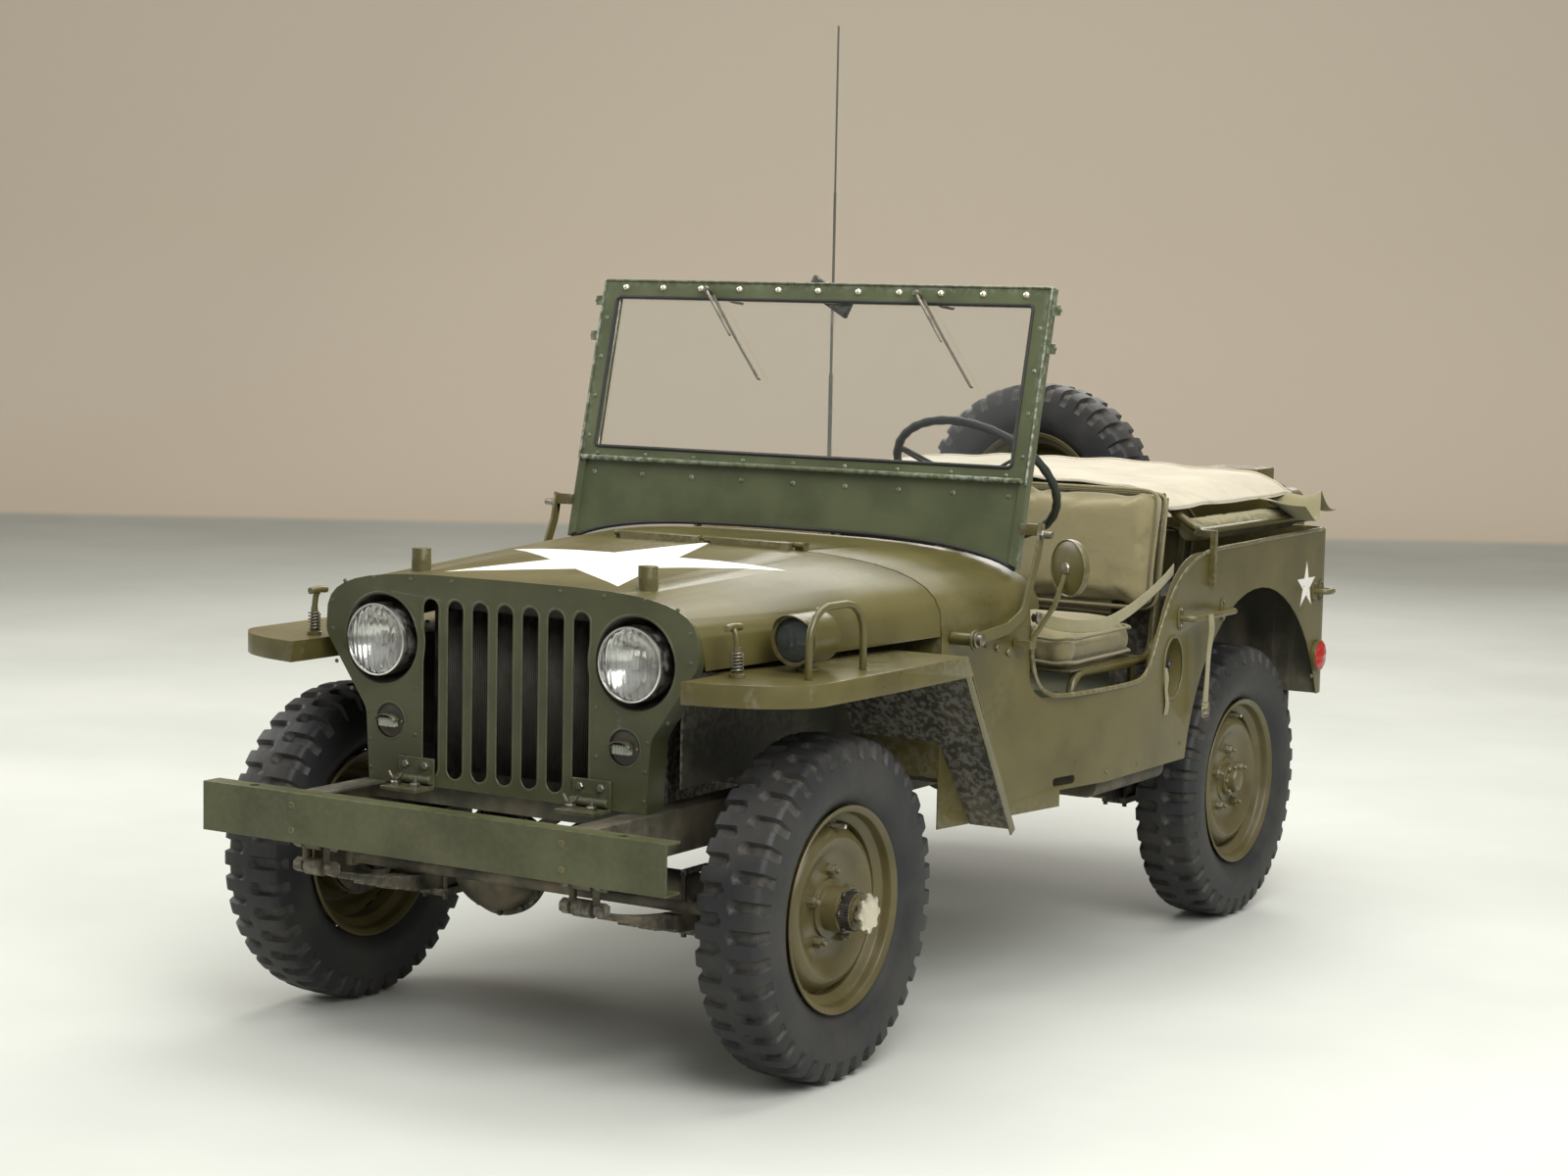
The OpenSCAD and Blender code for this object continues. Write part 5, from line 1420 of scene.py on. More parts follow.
    def mirror_face(self) -> None:
        """Mirror glass, rim and the round back's screw."""
        centre = self.places.at(0.778, 0.796, 1.009)
        turn = math.radians(28)
        front = np.array([-math.sin(turn), -math.cos(turn), 0.0])
        Shape().turned([[0.0045, 0.058], [0.0085, 0.0635], [-0.0005, 0.0650], [-0.0080, 0.0630],
            [-0.0075, 0.060]], centre, front, 56).build(
            "mirror_rim", BODY, "car", "olive_drab_paint", smooth=50)
        Shape().turned([[0.0062, 0.0], [0.0120, 0.0001], [0.0118, 0.020], [0.0105, 0.040], [0.0070, 0.058],
            [0.0060, 0.0600]], centre, front, 56).build(
            "mirror_back", BODY, "car", "olive_drab_paint", smooth=60)
        Shape().turned([[0.0062, 0], [0.0062, 0.0585], [0.0080, 0.0585], [0.0080, 0]], centre, -front,
            48).build(
            "mirror_glass", Metal("mirror_silver", (0.86, 0.88, 0.88), 0.03, 0.05), "car", "lamp_glass")
        Shape().turned([[0.0110, 0], [0.0110, 0.014], [0.0160, 0.012], [0.0180, 0]], centre, front,
            24).build(
            "mirror_boss", STEEL, "car", "olive_drab_paint", smooth=50)

    def reflectors(self) -> None:
        """Red side reflectors and tail lamps, each in a rim with a fluted dome."""
        dressed("tail_reflectors", BODY, "car", 0.0012, name="reflector_cups")
        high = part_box("tail_reflectors")[1]
        t = np.linspace(0, 1, 9)
        dome = np.stack([0.0005 + 0.007 * (1 - t**2), 0.039 * t], -1)[::-1]
        for side in Side:
            s = side.value
            spot = np.array([s * high[0], self.places.front + 2.430, 0.654])
            Shape().turned(dome, spot, (s, 0, 0), 48).build(f"{side.name.lower()}_side_reflector", RED,
                "car", "red_lens", thick=0.002, smooth=60)
            tail = np.array([s * 0.620, high[1], 0.730])
            small = dome * [1, 0.027 / 0.039]
            Shape().turned(small, tail, (0, 1, 0), 40).build(f"{side.name.lower()}_tail_lens", RED, "car",
                "red_lens", thick=0.002, smooth=60)

    def small_bolts(self) -> None:
        """Bolt heads beside the cowl, along the fender's seam and on the wheel arch."""
        shape = Shape()
        slope = math.radians(10.36)
        normal = (math.cos(slope), -math.sin(slope), 0.0)
        for side in Side:
            s = side.value
            for station, z in ((0.560, 0.80), (0.705, 0.828), (0.665, 0.840), (0.745, 0.815), (0.60, 0.70),
                    (0.60, 0.62), (0.60, 0.54)):
                x = 0.612 + (station - 0.512) * 0.1829
                shape.bolts([self.places.at(s * (x + 0.0002), station, z)], (s * normal[0], normal[1], 0),
                    0.0095 if station > 0.64 else 0.006, 0.006)
            for station in (0.02, 0.14, 0.26, 0.36):
                shape.bolts([self.places.at(s * 0.52, station, 0.8462)], (0, 0, 1), 0.007, 0.004, 10)
            for station, z in ((1.545, 0.52), (2.40, 0.60), (1.13, 0.50), (1.30, 0.50)):
                shape.bolts([self.places.at(s * 0.7252, station, z)], (s, 0, 0), 0.006, 0.004, 10)
        shape.build("body_bolts", BODY, "car", "olive_drab_paint")

    def instruments(self) -> None:
        """Round gauges with bezels on the instrument panel, switches and the glove box's plate."""
        y = self.places.front + 0.8372
        for number, (x, z, r) in enumerate([(0.06, 0.965, 0.045), (0.16, 0.985, 0.026),
                (0.16, 0.930, 0.026), (-0.04, 0.985, 0.026), (-0.04, 0.930, 0.026)]):
            Shape().turned([[0, r * 0.86], [0.006, r * 0.9], [0.007, r], [0.002, r * 1.08], [0, r * 1.08]],
                (x, y, z), (0, 1, 0), 36).build(
                f"gauge_rim_{number}", DARK, "car", "dark_chassis_paint", smooth=50)
            Shape().turned([[0.003, 0.0], [0.0032, r * 0.88], [-0.002, r * 0.88], [-0.002, 0]], (x, y, z),
                (0, 1, 0), 32).build(
                f"gauge_face_{number}", Rubber("gauge_black", (0.012, 0.012, 0.012), 0.05), "car",
                "wheel_grip")
        knobs = Shape()
        for x in (-0.12, -0.17, -0.22, 0.23, 0.27):
            knobs.turned([[0, 0.004], [0.014, 0.004], [0.015, 0.009], [0.022, 0.010], [0.024, 0]],
                (x, y, 0.930), (0, 1, 0), 16)
        knobs.build("dash_knobs", BLACK, "car", "wheel_grip", smooth=50)
        plate = Shape().box((-0.50, y, 0.915), (-0.28, y + 0.004, 0.990))
        plate.build("glove_box_door", FLOOR, "car", "olive_drab_paint", bevel=0.0015)


# ---- Windscreen ----


@dataclass
class Windscreen:
    """Folding windscreen: frame, glass, arms, wipers, studs and mirror."""

    places: Places
    lean: float = math.radians(13.5)
    foot: tuple[float, float] = (0.882, 1.184)

    def on(self, x: float, up: float, out: float = 0.0) -> Points:
        """Point in the windscreen's plane, moved out of its front face.

        Args:
            x: across the car.
            up: height along the windscreen from the glazed frame's foot.
            out: distance ahead of the front face.

        Returns:
            The point.
        """
        y = self.foot[0] + up * math.sin(self.lean) - (0.013 + out) * math.cos(self.lean)
        z = self.foot[1] + up * math.cos(self.lean) + (0.013 + out) * math.sin(self.lean)
        return self.places.at(x, y, z)

    def build(self) -> None:
        """Builds the windscreen."""
        self.normal = (0.0, -math.cos(self.lean), math.sin(self.lean))
        dressed("windscreen_frame", SCREEN, "windscreen", 0.0022)
        arms = Paint("arm_paint", OLIVE, 0.40, 0.8, 0.25)
        dressed("windscreen_arms", arms, "windscreen", 0.0015)
        glass = FRAME["nodes"]["windscreen_glass"]
        glass.data.materials.clear()
        glass.data.materials.append(made(CLEAR))
        self.beading()
        self.studs()
        for side in Side:
            self.wiper(side)
            self.knob(side)
        self.inner_mirror()
        self.cowl_seal()

    def beading(self) -> None:
        """Raised bead round the glass and the folded flange of the frame's outer edge."""
        half, low, high = 0.582, 0.034, 0.413
        line = rounded([(0, low, 0), (half, low, 0), (half, high, 0), (-half, high, 0), (-half, low, 0),
            (0, low, 0)], 0.012)
        path = np.array([self.on(x, up, 0.001) for x, up, _ in line])
        Shape().pipe(path, 0.0042, 8, (0, 1, 0.01)).build("glass_bead", BLACK, "windscreen",
            "olive_drab_paint", smooth=60)
        outer = [(-0.6245, -0.005), (-0.6245, 0.4555), (0.6245, 0.4555), (0.6245, -0.005)]
        path = np.array([self.on(x, up, 0.0012) for x, up,
            *_ in rounded([(a, b, 0) for a, b in outer], 0.006)])
        Shape().pipe(path, 0.0030, 8, (0, 1, 0.01)).build("screen_edge",
            Paint("screen_edge", GREENER, 0.36, 0.4, 0.1, bare=(0.4, 0.42, 0.37)), "windscreen",
            "olive_drab_paint", smooth=60)
        rail = np.array([self.on(x, 0.004, 0.004) for x in np.linspace(-0.615, 0.615, 5)])
        Shape().pipe(rail, 0.0065, 10).build("screen_foot_rail", SCREEN, "windscreen", "olive_drab_paint",
            smooth=60)

    def studs(self) -> None:
        """Pale canvas studs along the top bar and down both posts, and bolts along the foot."""
        top = [self.on(x, 0.438, 0.0) for x in np.linspace(-0.56, 0.56, 11)]
        dome = Shape().bolts(top, self.normal, 0.0090, 0.0075, 16)
        dome.build("screen_studs", CAP, "windscreen", "olive_drab_paint", smooth=60)
        spots = [self.on(s * 0.606, up, 0.0) for s in (-1, 1) for up in (0.06, 0.16, 0.26, 0.36)]
        spots += [self.on(x, 0.016, 0.0) for x in np.linspace(-0.57, 0.57, 9)]
        Shape().bolts(spots, self.normal, 0.0058, 0.0035, 12).build("screen_screws", SCREEN, "windscreen",
            "olive_drab_paint")
        low = [self.on(x, -0.030, -0.010) for x in np.linspace(-0.58, 0.58, 9)]
        Shape().bolts(low, self.normal, 0.0065, 0.0032, 12).build("screen_panel_rivets", SCREEN,
            "windscreen", "olive_drab_paint")

    def wiper(self, side: Side) -> None:
        """Wiper that hangs from the top bar: shaft, sprung arm, and blade with its rubber."""
        x = -0.309 if side is Side.RIGHT else 0.280
        tip_x = -0.125 if side is Side.RIGHT else 0.456
        label = side.name.lower()
        root, elbow, tip = self.on(x, 0.432, 0.020), self.on((x + tip_x) / 2, 0.318, 0.024), self.on(tip_x,
            0.215, 0.012)
        start = self.on(x + 0.018, 0.418, 0.010)
        arm = Shape().pipe(smooth_path([root, (root * 0.6 + elbow * 0.4) + [0, -0.004, 0.004], elbow], 18),
            np.linspace(0.0042, 0.0030, 18), 8, (0, 1, 0.1))
        arm.turned([[-0.026, 0], [-0.026, 0.009], [0.000, 0.009], [0.006, 0.006], [0.007, 0]], root,
            self.normal, 18)
        arm.build(f"{label}_wiper_arm", STEEL, "windscreen", "olive_drab_paint", smooth=50)
        along = unit(tip - start)
        across = np.cross(along, self.normal)
        blade = smooth_path([start, (start + tip) / 2 + np.array(self.normal) * 0.004, tip], 24)
        Shape().ribbon(blade, across, 0.007, 0.004).build(f"{label}_wiper_blade", STEEL, "windscreen",
            "olive_drab_paint", smooth=50)
        Shape().ribbon(blade - np.array(self.normal) * 0.0055, np.array(self.normal), 0.008, 0.0022).build(
            f"{label}_wiper_rubber", BLACK, "windscreen", "wheel_grip", smooth=50)
        lever = [self.on(x, 0.435, -0.030), self.on(x, 0.435, -0.046), self.on(x + 0.03, 0.420, -0.055),
            self.on(x + 0.065, 0.415, -0.055)]
        Shape().pipe(rounded(lever, 0.012), 0.004, 10, (0.1, 0, 1)).build(f"{label}_wiper_lever", STEEL,
            "windscreen", "olive_drab_paint", smooth=50)

    def knob(self, side: Side) -> None:
        """Pivot bolt of an arm, its clamp and the hinge block beside the frame."""
        s = side.value
        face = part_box("windscreen_arms")[1][0]
        shape = Shape()
        shape.turned([[0.0012, 0], [0.0012, 0.017], [0.005, 0.017], [0.007, 0.0125], [0.016, 0.0125],
            [0.018, 0.010], [0.018, 0]], self.places.at(s * face, 0.545, 0.862), (s, 0, 0), 26)
        shape.bolts([self.places.at(s * face, 0.845, 1.075)], (s, 0, 0), 0.012, 0.009)
        shape.turned([[0, 0], [0, 0.009], [0.020, 0.008], [0.022, 0]],
            self.places.at(s * (face + 0.008), 0.845, 1.075), (s, 0, 0), 14)
        shape.build(f"{side.name.lower()}_arm_bolts", STEEL, "windscreen", "olive_drab_paint", smooth=40)
        lug = Shape()
        for up in (0.405, 0.315):
            corner = self.on(s * 0.627, up, -0.006)
            lug.box(corner + [min(0, s * 0.020), -0.006, -0.012],
                corner + [max(0, s * 0.020), 0.006, 0.012])
            lug.bolts([corner + [s * 0.019, 0, 0]], (s, 0, 0), 0.006, 0.005)
        lug.build(f"{side.name.lower()}_screen_lugs", SCREEN, "windscreen", "olive_drab_paint", bevel=0.001)

    def inner_mirror(self) -> None:
        """Oblong mirror behind the top bar, on its bent stem."""
        at = self.places.at
        centre = at(-0.010, 1.046, 1.600)
        turn = Matrix.Translation(centre) @ Matrix.Rotation(math.radians(27), 4,
            "Y") @ Matrix.Rotation(math.radians(-10), 4, "Z")
        Shape().box((-0.072, -0.006, -0.024), (0.072, 0.006, 0.024), turn).build("inner_mirror", UNDER,
            "windscreen", "dark_chassis_paint", bevel=0.004)
        stem = [at(0.0, 1.000, 1.628), at(0.0, 1.026, 1.630), at(-0.005, 1.042, 1.606)]
        Shape().pipe(smooth_path(stem, 12), 0.0045, 10, (1, 0, 0)).build("inner_mirror_stem", STEEL,
            "windscreen", "olive_drab_paint", smooth=50)

    def cowl_seal(self) -> None:
        """Rubber seal at the foot of the lower panel: a tube carried along the cowl's crown.

        The crown is the curve |x / half| to a power plus its height to that power equals 1.
        """
        half, top, power, foot = 0.612 + 0.346 * 0.1829, 1.041, 3.25, 0.870
        x = np.linspace(-0.618, 0.618, 90)
        z = foot + (top - foot) * (1 - (np.abs(x) / half) ** power) ** (1 / power)
        z = z + 0.0050
        up = (z - self.foot[1]) / math.cos(self.lean)
        y = self.foot[0] + up * math.sin(self.lean)
        path = np.stack([x, self.places.front + y, z + 0.0045], -1)
        Shape().pipe(path, 0.0048, 10, (0, 1, 0)).build("screen_seal", BLACK, "windscreen", "wheel_grip",
            smooth=60)


# ---- Seats and canvas ----


@dataclass
class Pad:
    """Stuffed canvas pad that swells from a slightly small block, with piped seams.

    The block is the rounded box |x|^p + |y|^p + |z|^p = 1 with a separate power in plan and in
    thickness; its sides pull in between the corners by a cosine of the place along each side.
    """

    name: str
    node: str
    body: str
    centre: Points
    size: tuple[float, float, float]
    lean: float = 0.0
    channels: int = 0
    seed: int = 1
    cap: float = 0.016

    def surface(self, n: int = 64, m: int = 40) -> Points:
        """Grid over the pad: u runs round its plan outline and v from its lower to its upper middle."""
        u = np.linspace(0, 2 * math.pi, n, endpoint=False)[:, None]
        v = np.linspace(-math.pi / 2, math.pi / 2, m)[None, :]
        a, b, c = (0.5 * s for s in self.size)
        plan = 0.22
        flat = 0.42
        cu = np.sign(np.cos(u)) * np.abs(np.cos(u)) ** plan
        su = np.sign(np.sin(u)) * np.abs(np.sin(u)) ** plan
        cv = np.abs(np.cos(v)) ** flat
        sv = np.sign(np.sin(v)) * np.abs(np.sin(v)) ** 0.75
        pull = 1.0 - 0.022 * np.cos(2 * u) ** 2
        return np.stack([a * cu * cv * pull, b * su * cv * pull, c * np.broadcast_to(sv, (n, m))], -1)

    def build(self) -> bpy.types.Object:
        """Builds the pad: block, cloth swell, seams and piping.

        Returns:
            The pad.
        """
        shape = Shape().grid(self.surface(), wrap_u=True)
        piece = shape.build(self.name, KHAKI, self.body, "seat_canvas", smooth=180)
        piece.modifiers.clear()
        self.swell(piece)
        self.shape_seams(piece)
        self.move(piece)
        self.map_cloth(piece)
        self.piping()
        return piece

    def swell(self, piece: bpy.types.Object) -> None:
        """Remeshes the block, lets pressure swell it as cloth and keeps each point's move under the cap."""
        select_only(piece)
        voxel = piece.modifiers.new("voxel", "REMESH")
        voxel.mode, voxel.voxel_size = "VOXEL", 0.0095
        bpy.ops.object.modifier_apply(modifier=voxel.name)
        start = coordinates(piece)
        cloth = piece.modifiers.new("cloth", "CLOTH")
        cloth.settings.use_pressure = True
        cloth.settings.uniform_pressure_force = 4.0
        cloth.settings.effector_weights.gravity = 0.0
        cloth.settings.quality = 4
        cloth.point_cache.frame_start, cloth.point_cache.frame_end = 1, 14
        for frame in range(1, 15):
            bpy.context.scene.frame_set(frame)
        bpy.ops.object.modifier_apply(modifier=cloth.name)
        bpy.context.scene.frame_set(1)
        end = coordinates(piece)
        move = end - start
        length = np.linalg.norm(move, axis=1, keepdims=True)
        put(piece, start + move * np.minimum(1.0, self.cap / np.maximum(length, 1e-9)))

    def shape_seams(self, piece: bpy.types.Object) -> None:
        """Wrinkles that run in from the seams, a crown, and sewn channels: cosine dips across the pad."""
        p = coordinates(piece)
        a, b, c = (0.5 * s for s in self.size)
        x, y, z = p[:, 0] / a, p[:, 1] / b, p[:, 2] / c
        rng = np.random.default_rng(self.seed)
        waves = np.zeros(len(p))
        for _ in range(16):
            kx, ky, ph = rng.uniform(-9, 9), rng.uniform(-9, 9), rng.uniform(0, 6.28)
            waves += np.sin(kx * x + ky * y + ph + 1.6 * np.sin(2.1 * y * x + ph)) / 16
        edge = np.clip(np.maximum(np.abs(x), np.abs(y)), 0, 1) ** 3
        upper = np.clip(z * 1.5, 0, 1)
        fold = (np.abs(waves) * 2.2) ** 0.8
        p[:, 2] += upper * (0.0035 * waves + 0.0060 * edge * (0.5 - fold)) - 0.0015
        ripple = 0.0026 * np.sin(x * 15 + 3 * np.sin(4 * x + self.seed)) * (np.abs(z) < 0.7)
        p[:, 1] += ripple * np.sign(y) * (np.abs(y) > 0.8)
        if self.channels:
            place = (x * 0.5 + 0.5) * (self.channels + 1)
            dip = np.exp(-(((place - np.round(place)) / 0.05) ** 2)) * (np.round(place) > 0.5) * (
                np.round(place) < self.channels + 0.5)
            p[:, 2] -= 0.010 * dip * upper * np.clip(1.15 - np.abs(y), 0, 1)
        put(piece, p)

    def matrix(self) -> Matrix:
        """Where the pad goes."""
        return Matrix.Translation(self.centre) @ Matrix.Rotation(self.lean, 4, "X")

    def move(self, piece: bpy.types.Object) -> None:
        """Puts the pad in its place, in its mesh."""
        piece.data.transform(self.matrix())
        piece.data.shade_smooth()

    def map_cloth(self, piece: bpy.types.Object) -> None:
        """Gives the cloth its map: each face takes the two pad axes that it lies most nearly along."""
        local = np.array([list(row) for row in self.matrix().inverted()])
        p = coordinates(piece) @ local[:3, :3].T + local[:3, 3]
        for layer in list(piece.data.uv_layers):
            piece.data.uv_layers.remove(layer)
        layer = piece.data.uv_layers.new(name="cloth")
        corner = np.empty(len(piece.data.loops), np.int32)
        piece.data.loops.foreach_get("vertex_index", corner)
        uv = p[corner][:, :2] + p[corner][:, 2:3] * [0.7, 0.7]
        layer.data.foreach_set("uv", uv.astype(np.float32).ravel())

    def piping(self) -> None:
        """Welt cord round the upper and lower edges of the pad."""
        a, b, c = (0.5 * s for s in self.size)
        u = np.linspace(0, 2 * math.pi, 160, endpoint=False)
        turn = np.array(self.matrix().to_3x3())
        for level, label in ((0.62, "upper"), (-0.62, "lower")):
            k = 1.0 - 0.022 * np.cos(2 * u) ** 2
            grow = 0.0055
            ring = np.stack([(a * 0.945 + grow) * k * np.sign(np.cos(u)) * np.abs(np.cos(u)) ** 0.25,
                (b * 0.945 + grow) * k * np.sign(np.sin(u)) * np.abs(np.sin(u)) ** 0.25,
                             np.full(160, level * c) + 0.0015 * np.sin(7 * u)], -1) @ turn.T + self.centre
            along = unit(np.roll(ring, -1, 0) - np.roll(ring, 1, 0))
            side = unit(np.cross(along, turn[:, 2]))
            up = np.cross(side, along)
            t = np.linspace(0, 2 * math.pi, 8, endpoint=False)[None, :, None]
            tube = ring[:, None] + 0.0042 * (np.cos(t) * side[:, None] + np.sin(t) * up[:, None])
            Shape().grid(tube, wrap_u=True, wrap_v=True).build(f"{self.name}_{label}_welt", KHAKI,
                self.body, "seat_canvas", smooth=60)


@dataclass
class Seats:
    """Front seats, rear seat and their frames."""

    places: Places

    def build(self) -> None:
        """Builds the seats."""
        dressed("seat_frames", BODY, "car", 0.0, smooth=50)
        dressed("rear_seat_frame", BODY, "car", 0.0, smooth=50)
        low, high = (np.array(v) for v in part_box("seat_cushions"))
        depth, thick = high[1] - low[1], high[2] - low[2]
        middle = (low + high) / 2
        for side in Side:
            x = side.value * (high[0] - 0.205)
            label = side.name.lower()
            Pad(f"{label}_seat_cushion", "seat_cushions", "car",
                np.array([x, middle[1], middle[2] + 0.002]), (0.398, depth - 0.008, thick + 0.006), 0.0, 0,
                3 + side.value).build()
            lean = math.radians(-10)
            centre = self.places.at(x, 1.440 + 0.031 * math.cos(lean) + 0.1425 * math.sin(-lean),
                0.862 + 0.1425 * math.cos(lean) + 0.031 * math.sin(lean))
            Pad(f"{label}_seat_backrest", "seat_backrests", "car", centre, (0.436, 0.302, 0.078),
                math.pi / 2 + lean, 0, 8 + side.value).build()
        low, high = (np.array(v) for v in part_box("rear_seat_pads"))
        seat = np.array([0.0, low[1] + 0.1625, low[2] + 0.0375])
        Pad("rear_seat_cushion", "rear_seat_pads", "car", seat, (0.788, 0.317, 0.077), 0.0, 3, 21).build()
        lean = math.radians(-9)
        Pad("rear_seat_back", "rear_seat_pads", "car",
            np.array([0.0, low[1] + 0.297 + 0.024 + 0.012, low[2] + 0.080 + 0.073]), (0.788, 0.146, 0.050),
            math.pi / 2 + lean, 3, 23).build()
        for node, piece in (("seat_cushions", "left_seat_cushion"),
                ("seat_backrests", "left_seat_backrest"), ("rear_seat_pads", "rear_seat_cushion")):
            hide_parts(node)


@dataclass
class Canvas:
    """Canvas cover on its bows, rolled bundles along the rails, and straps."""

    places: Places

    def build(self) -> None:
        """Builds the canvas."""
        dressed("top_bows", BODY, "car", 0.0, smooth=50)
        self.cover()
        for side in Side:
            self.bundle(side)
        self.flap()
        self.safety_strap()
        self.hanging_strap()

    def cover(self) -> None:
        """Pale cover draped over the bows.

        Across the car its height is a flattened arch that falls to each rail; along the car it sags
        between the bows by a cosine, and its edges ripple. Creases are added as ridged sines.
        """
        low, high = (np.array(v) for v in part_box("canvas_cover"))
        n, m = 150, 110
        u = np.linspace(-1, 1, n)[:, None]
        v = np.linspace(0, 1, m)[None, :]
        half = high[0] - 0.006
        x = half * u * (1.0 + 0.006 * np.sin(17 * v) * np.abs(u) ** 6)
        y = low[1] + 0.006 + (high[1] - low[1] - 0.012) * v + 0.005 * np.sin(9 * u) * (v > 0.97)
        bows = 0.5 - 0.5 * np.cos(2 * math.pi * np.clip((v - 0.10) / 0.82, 0, 1))
        crown = high[2] - 0.014 - 0.022 * np.abs(u) ** 1.6 - 0.046 * np.clip((np.abs(u) - 0.80) / 0.20, 0,
            1) ** 1.5
        crease = np.abs(np.sin(5.2 * u + 7.0 * v + 0.8 * np.sin(6 * v))) ** 6 * 0.003 + 0.0022 * np.sin(
            23 * u + 5 * v) * (1 - np.abs(u) ** 3)
        z = crown - 0.010 * bows * (1 - u**2) + crease
        points = np.stack([x + 0 * v, y + 0 * u, z + 0 * v], -1)
        shape = Shape().grid(points)
        span = (2 * half + 0.05, high[1] - low[1])
        shape.maps[-1] = shape.maps[-1] * [span[0], span[1]]
        piece = shape.build("canvas_cover_sheet", PALE, "car", "cover_canvas", thick=0.0025, smooth=180)
        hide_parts("canvas_cover")
        hem = Shape()
        for row in (points[:, 1], points[:, -2]):
            hem.pipe(row + [0, 0, 0.001], 0.0048, 8, (0, 1, 0))
        for row in (points[1], points[-2]):
            hem.pipe(row, 0.0050, 8, (1, 0, 0))
        hem.build("cover_hem", PALE, "car", "cover_canvas", smooth=60)

    def bundle(self, side: Side) -> None:
        """Folded olive canvas along a rail: a lumpy superellipse carried along it, tied with straps."""
        low, high = (np.array(v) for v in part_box("canvas_bundles"))
        s = side.value
        inner, outer = high[0] - 0.070, high[0]
        n, m = 190, 56
        v = np.linspace(0, 1, n)[:, None]
        a = np.linspace(0, 2 * math.pi, m, endpoint=False)[None, :]
        pinch = 1 - 0.20 * sum(np.exp(-(((v - t) / 0.014) ** 2)) for t in (0.18, 0.5, 0.82))
        taper = np.clip(np.minimum(v, 1 - v) / 0.012, 0.0, 1.0) ** 0.5
        lump = 1 + 0.055 * np.sin(31 * v + 2 * np.sin(3 * a)) * np.sin(2 * a + 9 * v) - 0.055 * np.abs(
            np.sin(2.5 * a + 3 * np.sin(8 * v))) ** 5
        rx, rz = (outer - inner) / 2 * 0.985, (high[2] - low[2]) / 2 * 0.985
        cx, cz = (inner + outer) / 2, (low[2] + high[2]) / 2
        power = 0.72
        x = cx + rx * np.minimum(lump, 1.0) * pinch * taper * np.sign(np.cos(a)) * np.abs(
            np.cos(a)) ** power
        z = cz + rz * np.minimum(lump, 1.0) * pinch * taper * np.sign(np.sin(a)) * np.abs(
            np.sin(a)) ** power
        y = low[1] + (high[1] - low[1]) * v + 0 * a
        shape = Shape().grid(np.stack([s * x, y, z], -1), wrap_v=True, caps=True)
        shape.maps[-1] = shape.maps[-1] * [high[1] - low[1], 0.25]
        piece = shape.build(f"{side.name.lower()}_canvas_bundle", DRAB, "car", "seat_canvas", smooth=180)
        if side is Side.LEFT:
            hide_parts("canvas_bundles")
        for number, t in enumerate((0.18, 0.5, 0.82)):
            ring_y = low[1] + (high[1] - low[1]) * t
            b = np.linspace(0, 2 * math.pi, 40)[:-1]
            ring = np.stack([s * (cx + (rx * 0.86) * np.sign(np.cos(b)) * np.abs(np.cos(b)) ** 0.8),
                np.full(39, ring_y), cz + (rz * 0.86) * np.sign(np.sin(b)) * np.abs(np.sin(b)) ** 0.8], -1)
            w = np.array([-0.010, -0.010, 0.010, 0.010])[None, :, None] * np.array([0, 1.0, 0])
            grow = np.array([0.0, 0.0028, 0.0028, 0.0])[None, :, None]
            out = unit(ring - [s * cx, ring_y, cz])
            band = ring[:, None] + w + grow * out[:, None]
            Shape().grid(band, wrap_u=True, wrap_v=True).build(f"{side.name.lower()}_bundle_strap_{number}",
                WEBBING, "car", "seat_canvas", smooth=30)

    def flap(self) -> None:
        """Loose end of the olive canvas that folds over the left rear corner and curls outwards.

        Across the fold it is a wave whose height grows towards the free end, and the end turns up in
        an arc.
        """
        n, m = 90, 60
        u = np.linspace(0, 1, n)[:, None]
        v = np.linspace(0, 1, m)[None, :]
        x = 0.595 + 0.165 * u + 0.020 * u * np.sin(5.2 * v + 0.6)
        y = 2.215 + 0.245 * v + 0.030 * u * v - 0.02 * u
        curl = np.clip((u - 0.55) / 0.45, 0, 1) ** 2
        wave = (0.006 + 0.026 * u) * np.sin(2 * math.pi * (1.35 * v + 0.35 * u) + 0.5)
        z = 1.088 - 0.030 * u + wave + 0.026 * curl - 0.022 * (1 - v) * u
        points = np.stack([x, y, z + 0 * x], -1) + [0, self.places.front, 0]
        shape = Shape().grid(points)
        shape.maps[-1] = shape.maps[-1] * [0.22, 0.28]
        piece = shape.build("canvas_flap", DRAB, "car", "cover_canvas", thick=0.0028, smooth=180)

    def safety_strap(self) -> None:
        """Webbing strap that hangs across the left door opening, with its clip."""
        line = self.places.line([(0.6700, 0.850, 0.885), (0.690, 0.92, 0.866), (0.704, 1.02, 0.853),
            (0.712, 1.12, 0.852), (0.714, 1.22, 0.866),
                                 (0.714, 1.32, 0.890), (0.713, 1.42, 0.921), (0.712, 1.50, 0.952)])
        path = smooth_path(line, 90)
        tilt = np.stack([np.zeros(90), 0.25 * np.sin(np.linspace(0, 3, 90)), np.ones(90)], -1)
        strap = Shape().ribbon(path, tilt, 0.030, 0.0030, 0.0012)
        strap.maps[-1] = strap.maps[-1] * [0.75, 0.05]
        piece = strap.build("safety_strap", WEBBING, "car", "seat_canvas", smooth=50)
        clip = Shape()
        end = path[0]
        clip.turned([[-0.010, 0], [-0.010, 0.011], [0.006, 0.011], [0.009, 0.006], [0.009, 0]],
            end + [0.003, 0, 0], (1, -0.18, 0), 20)
        clip.build("safety_strap_clip", STEEL, "car", "olive_drab_paint", smooth=50)

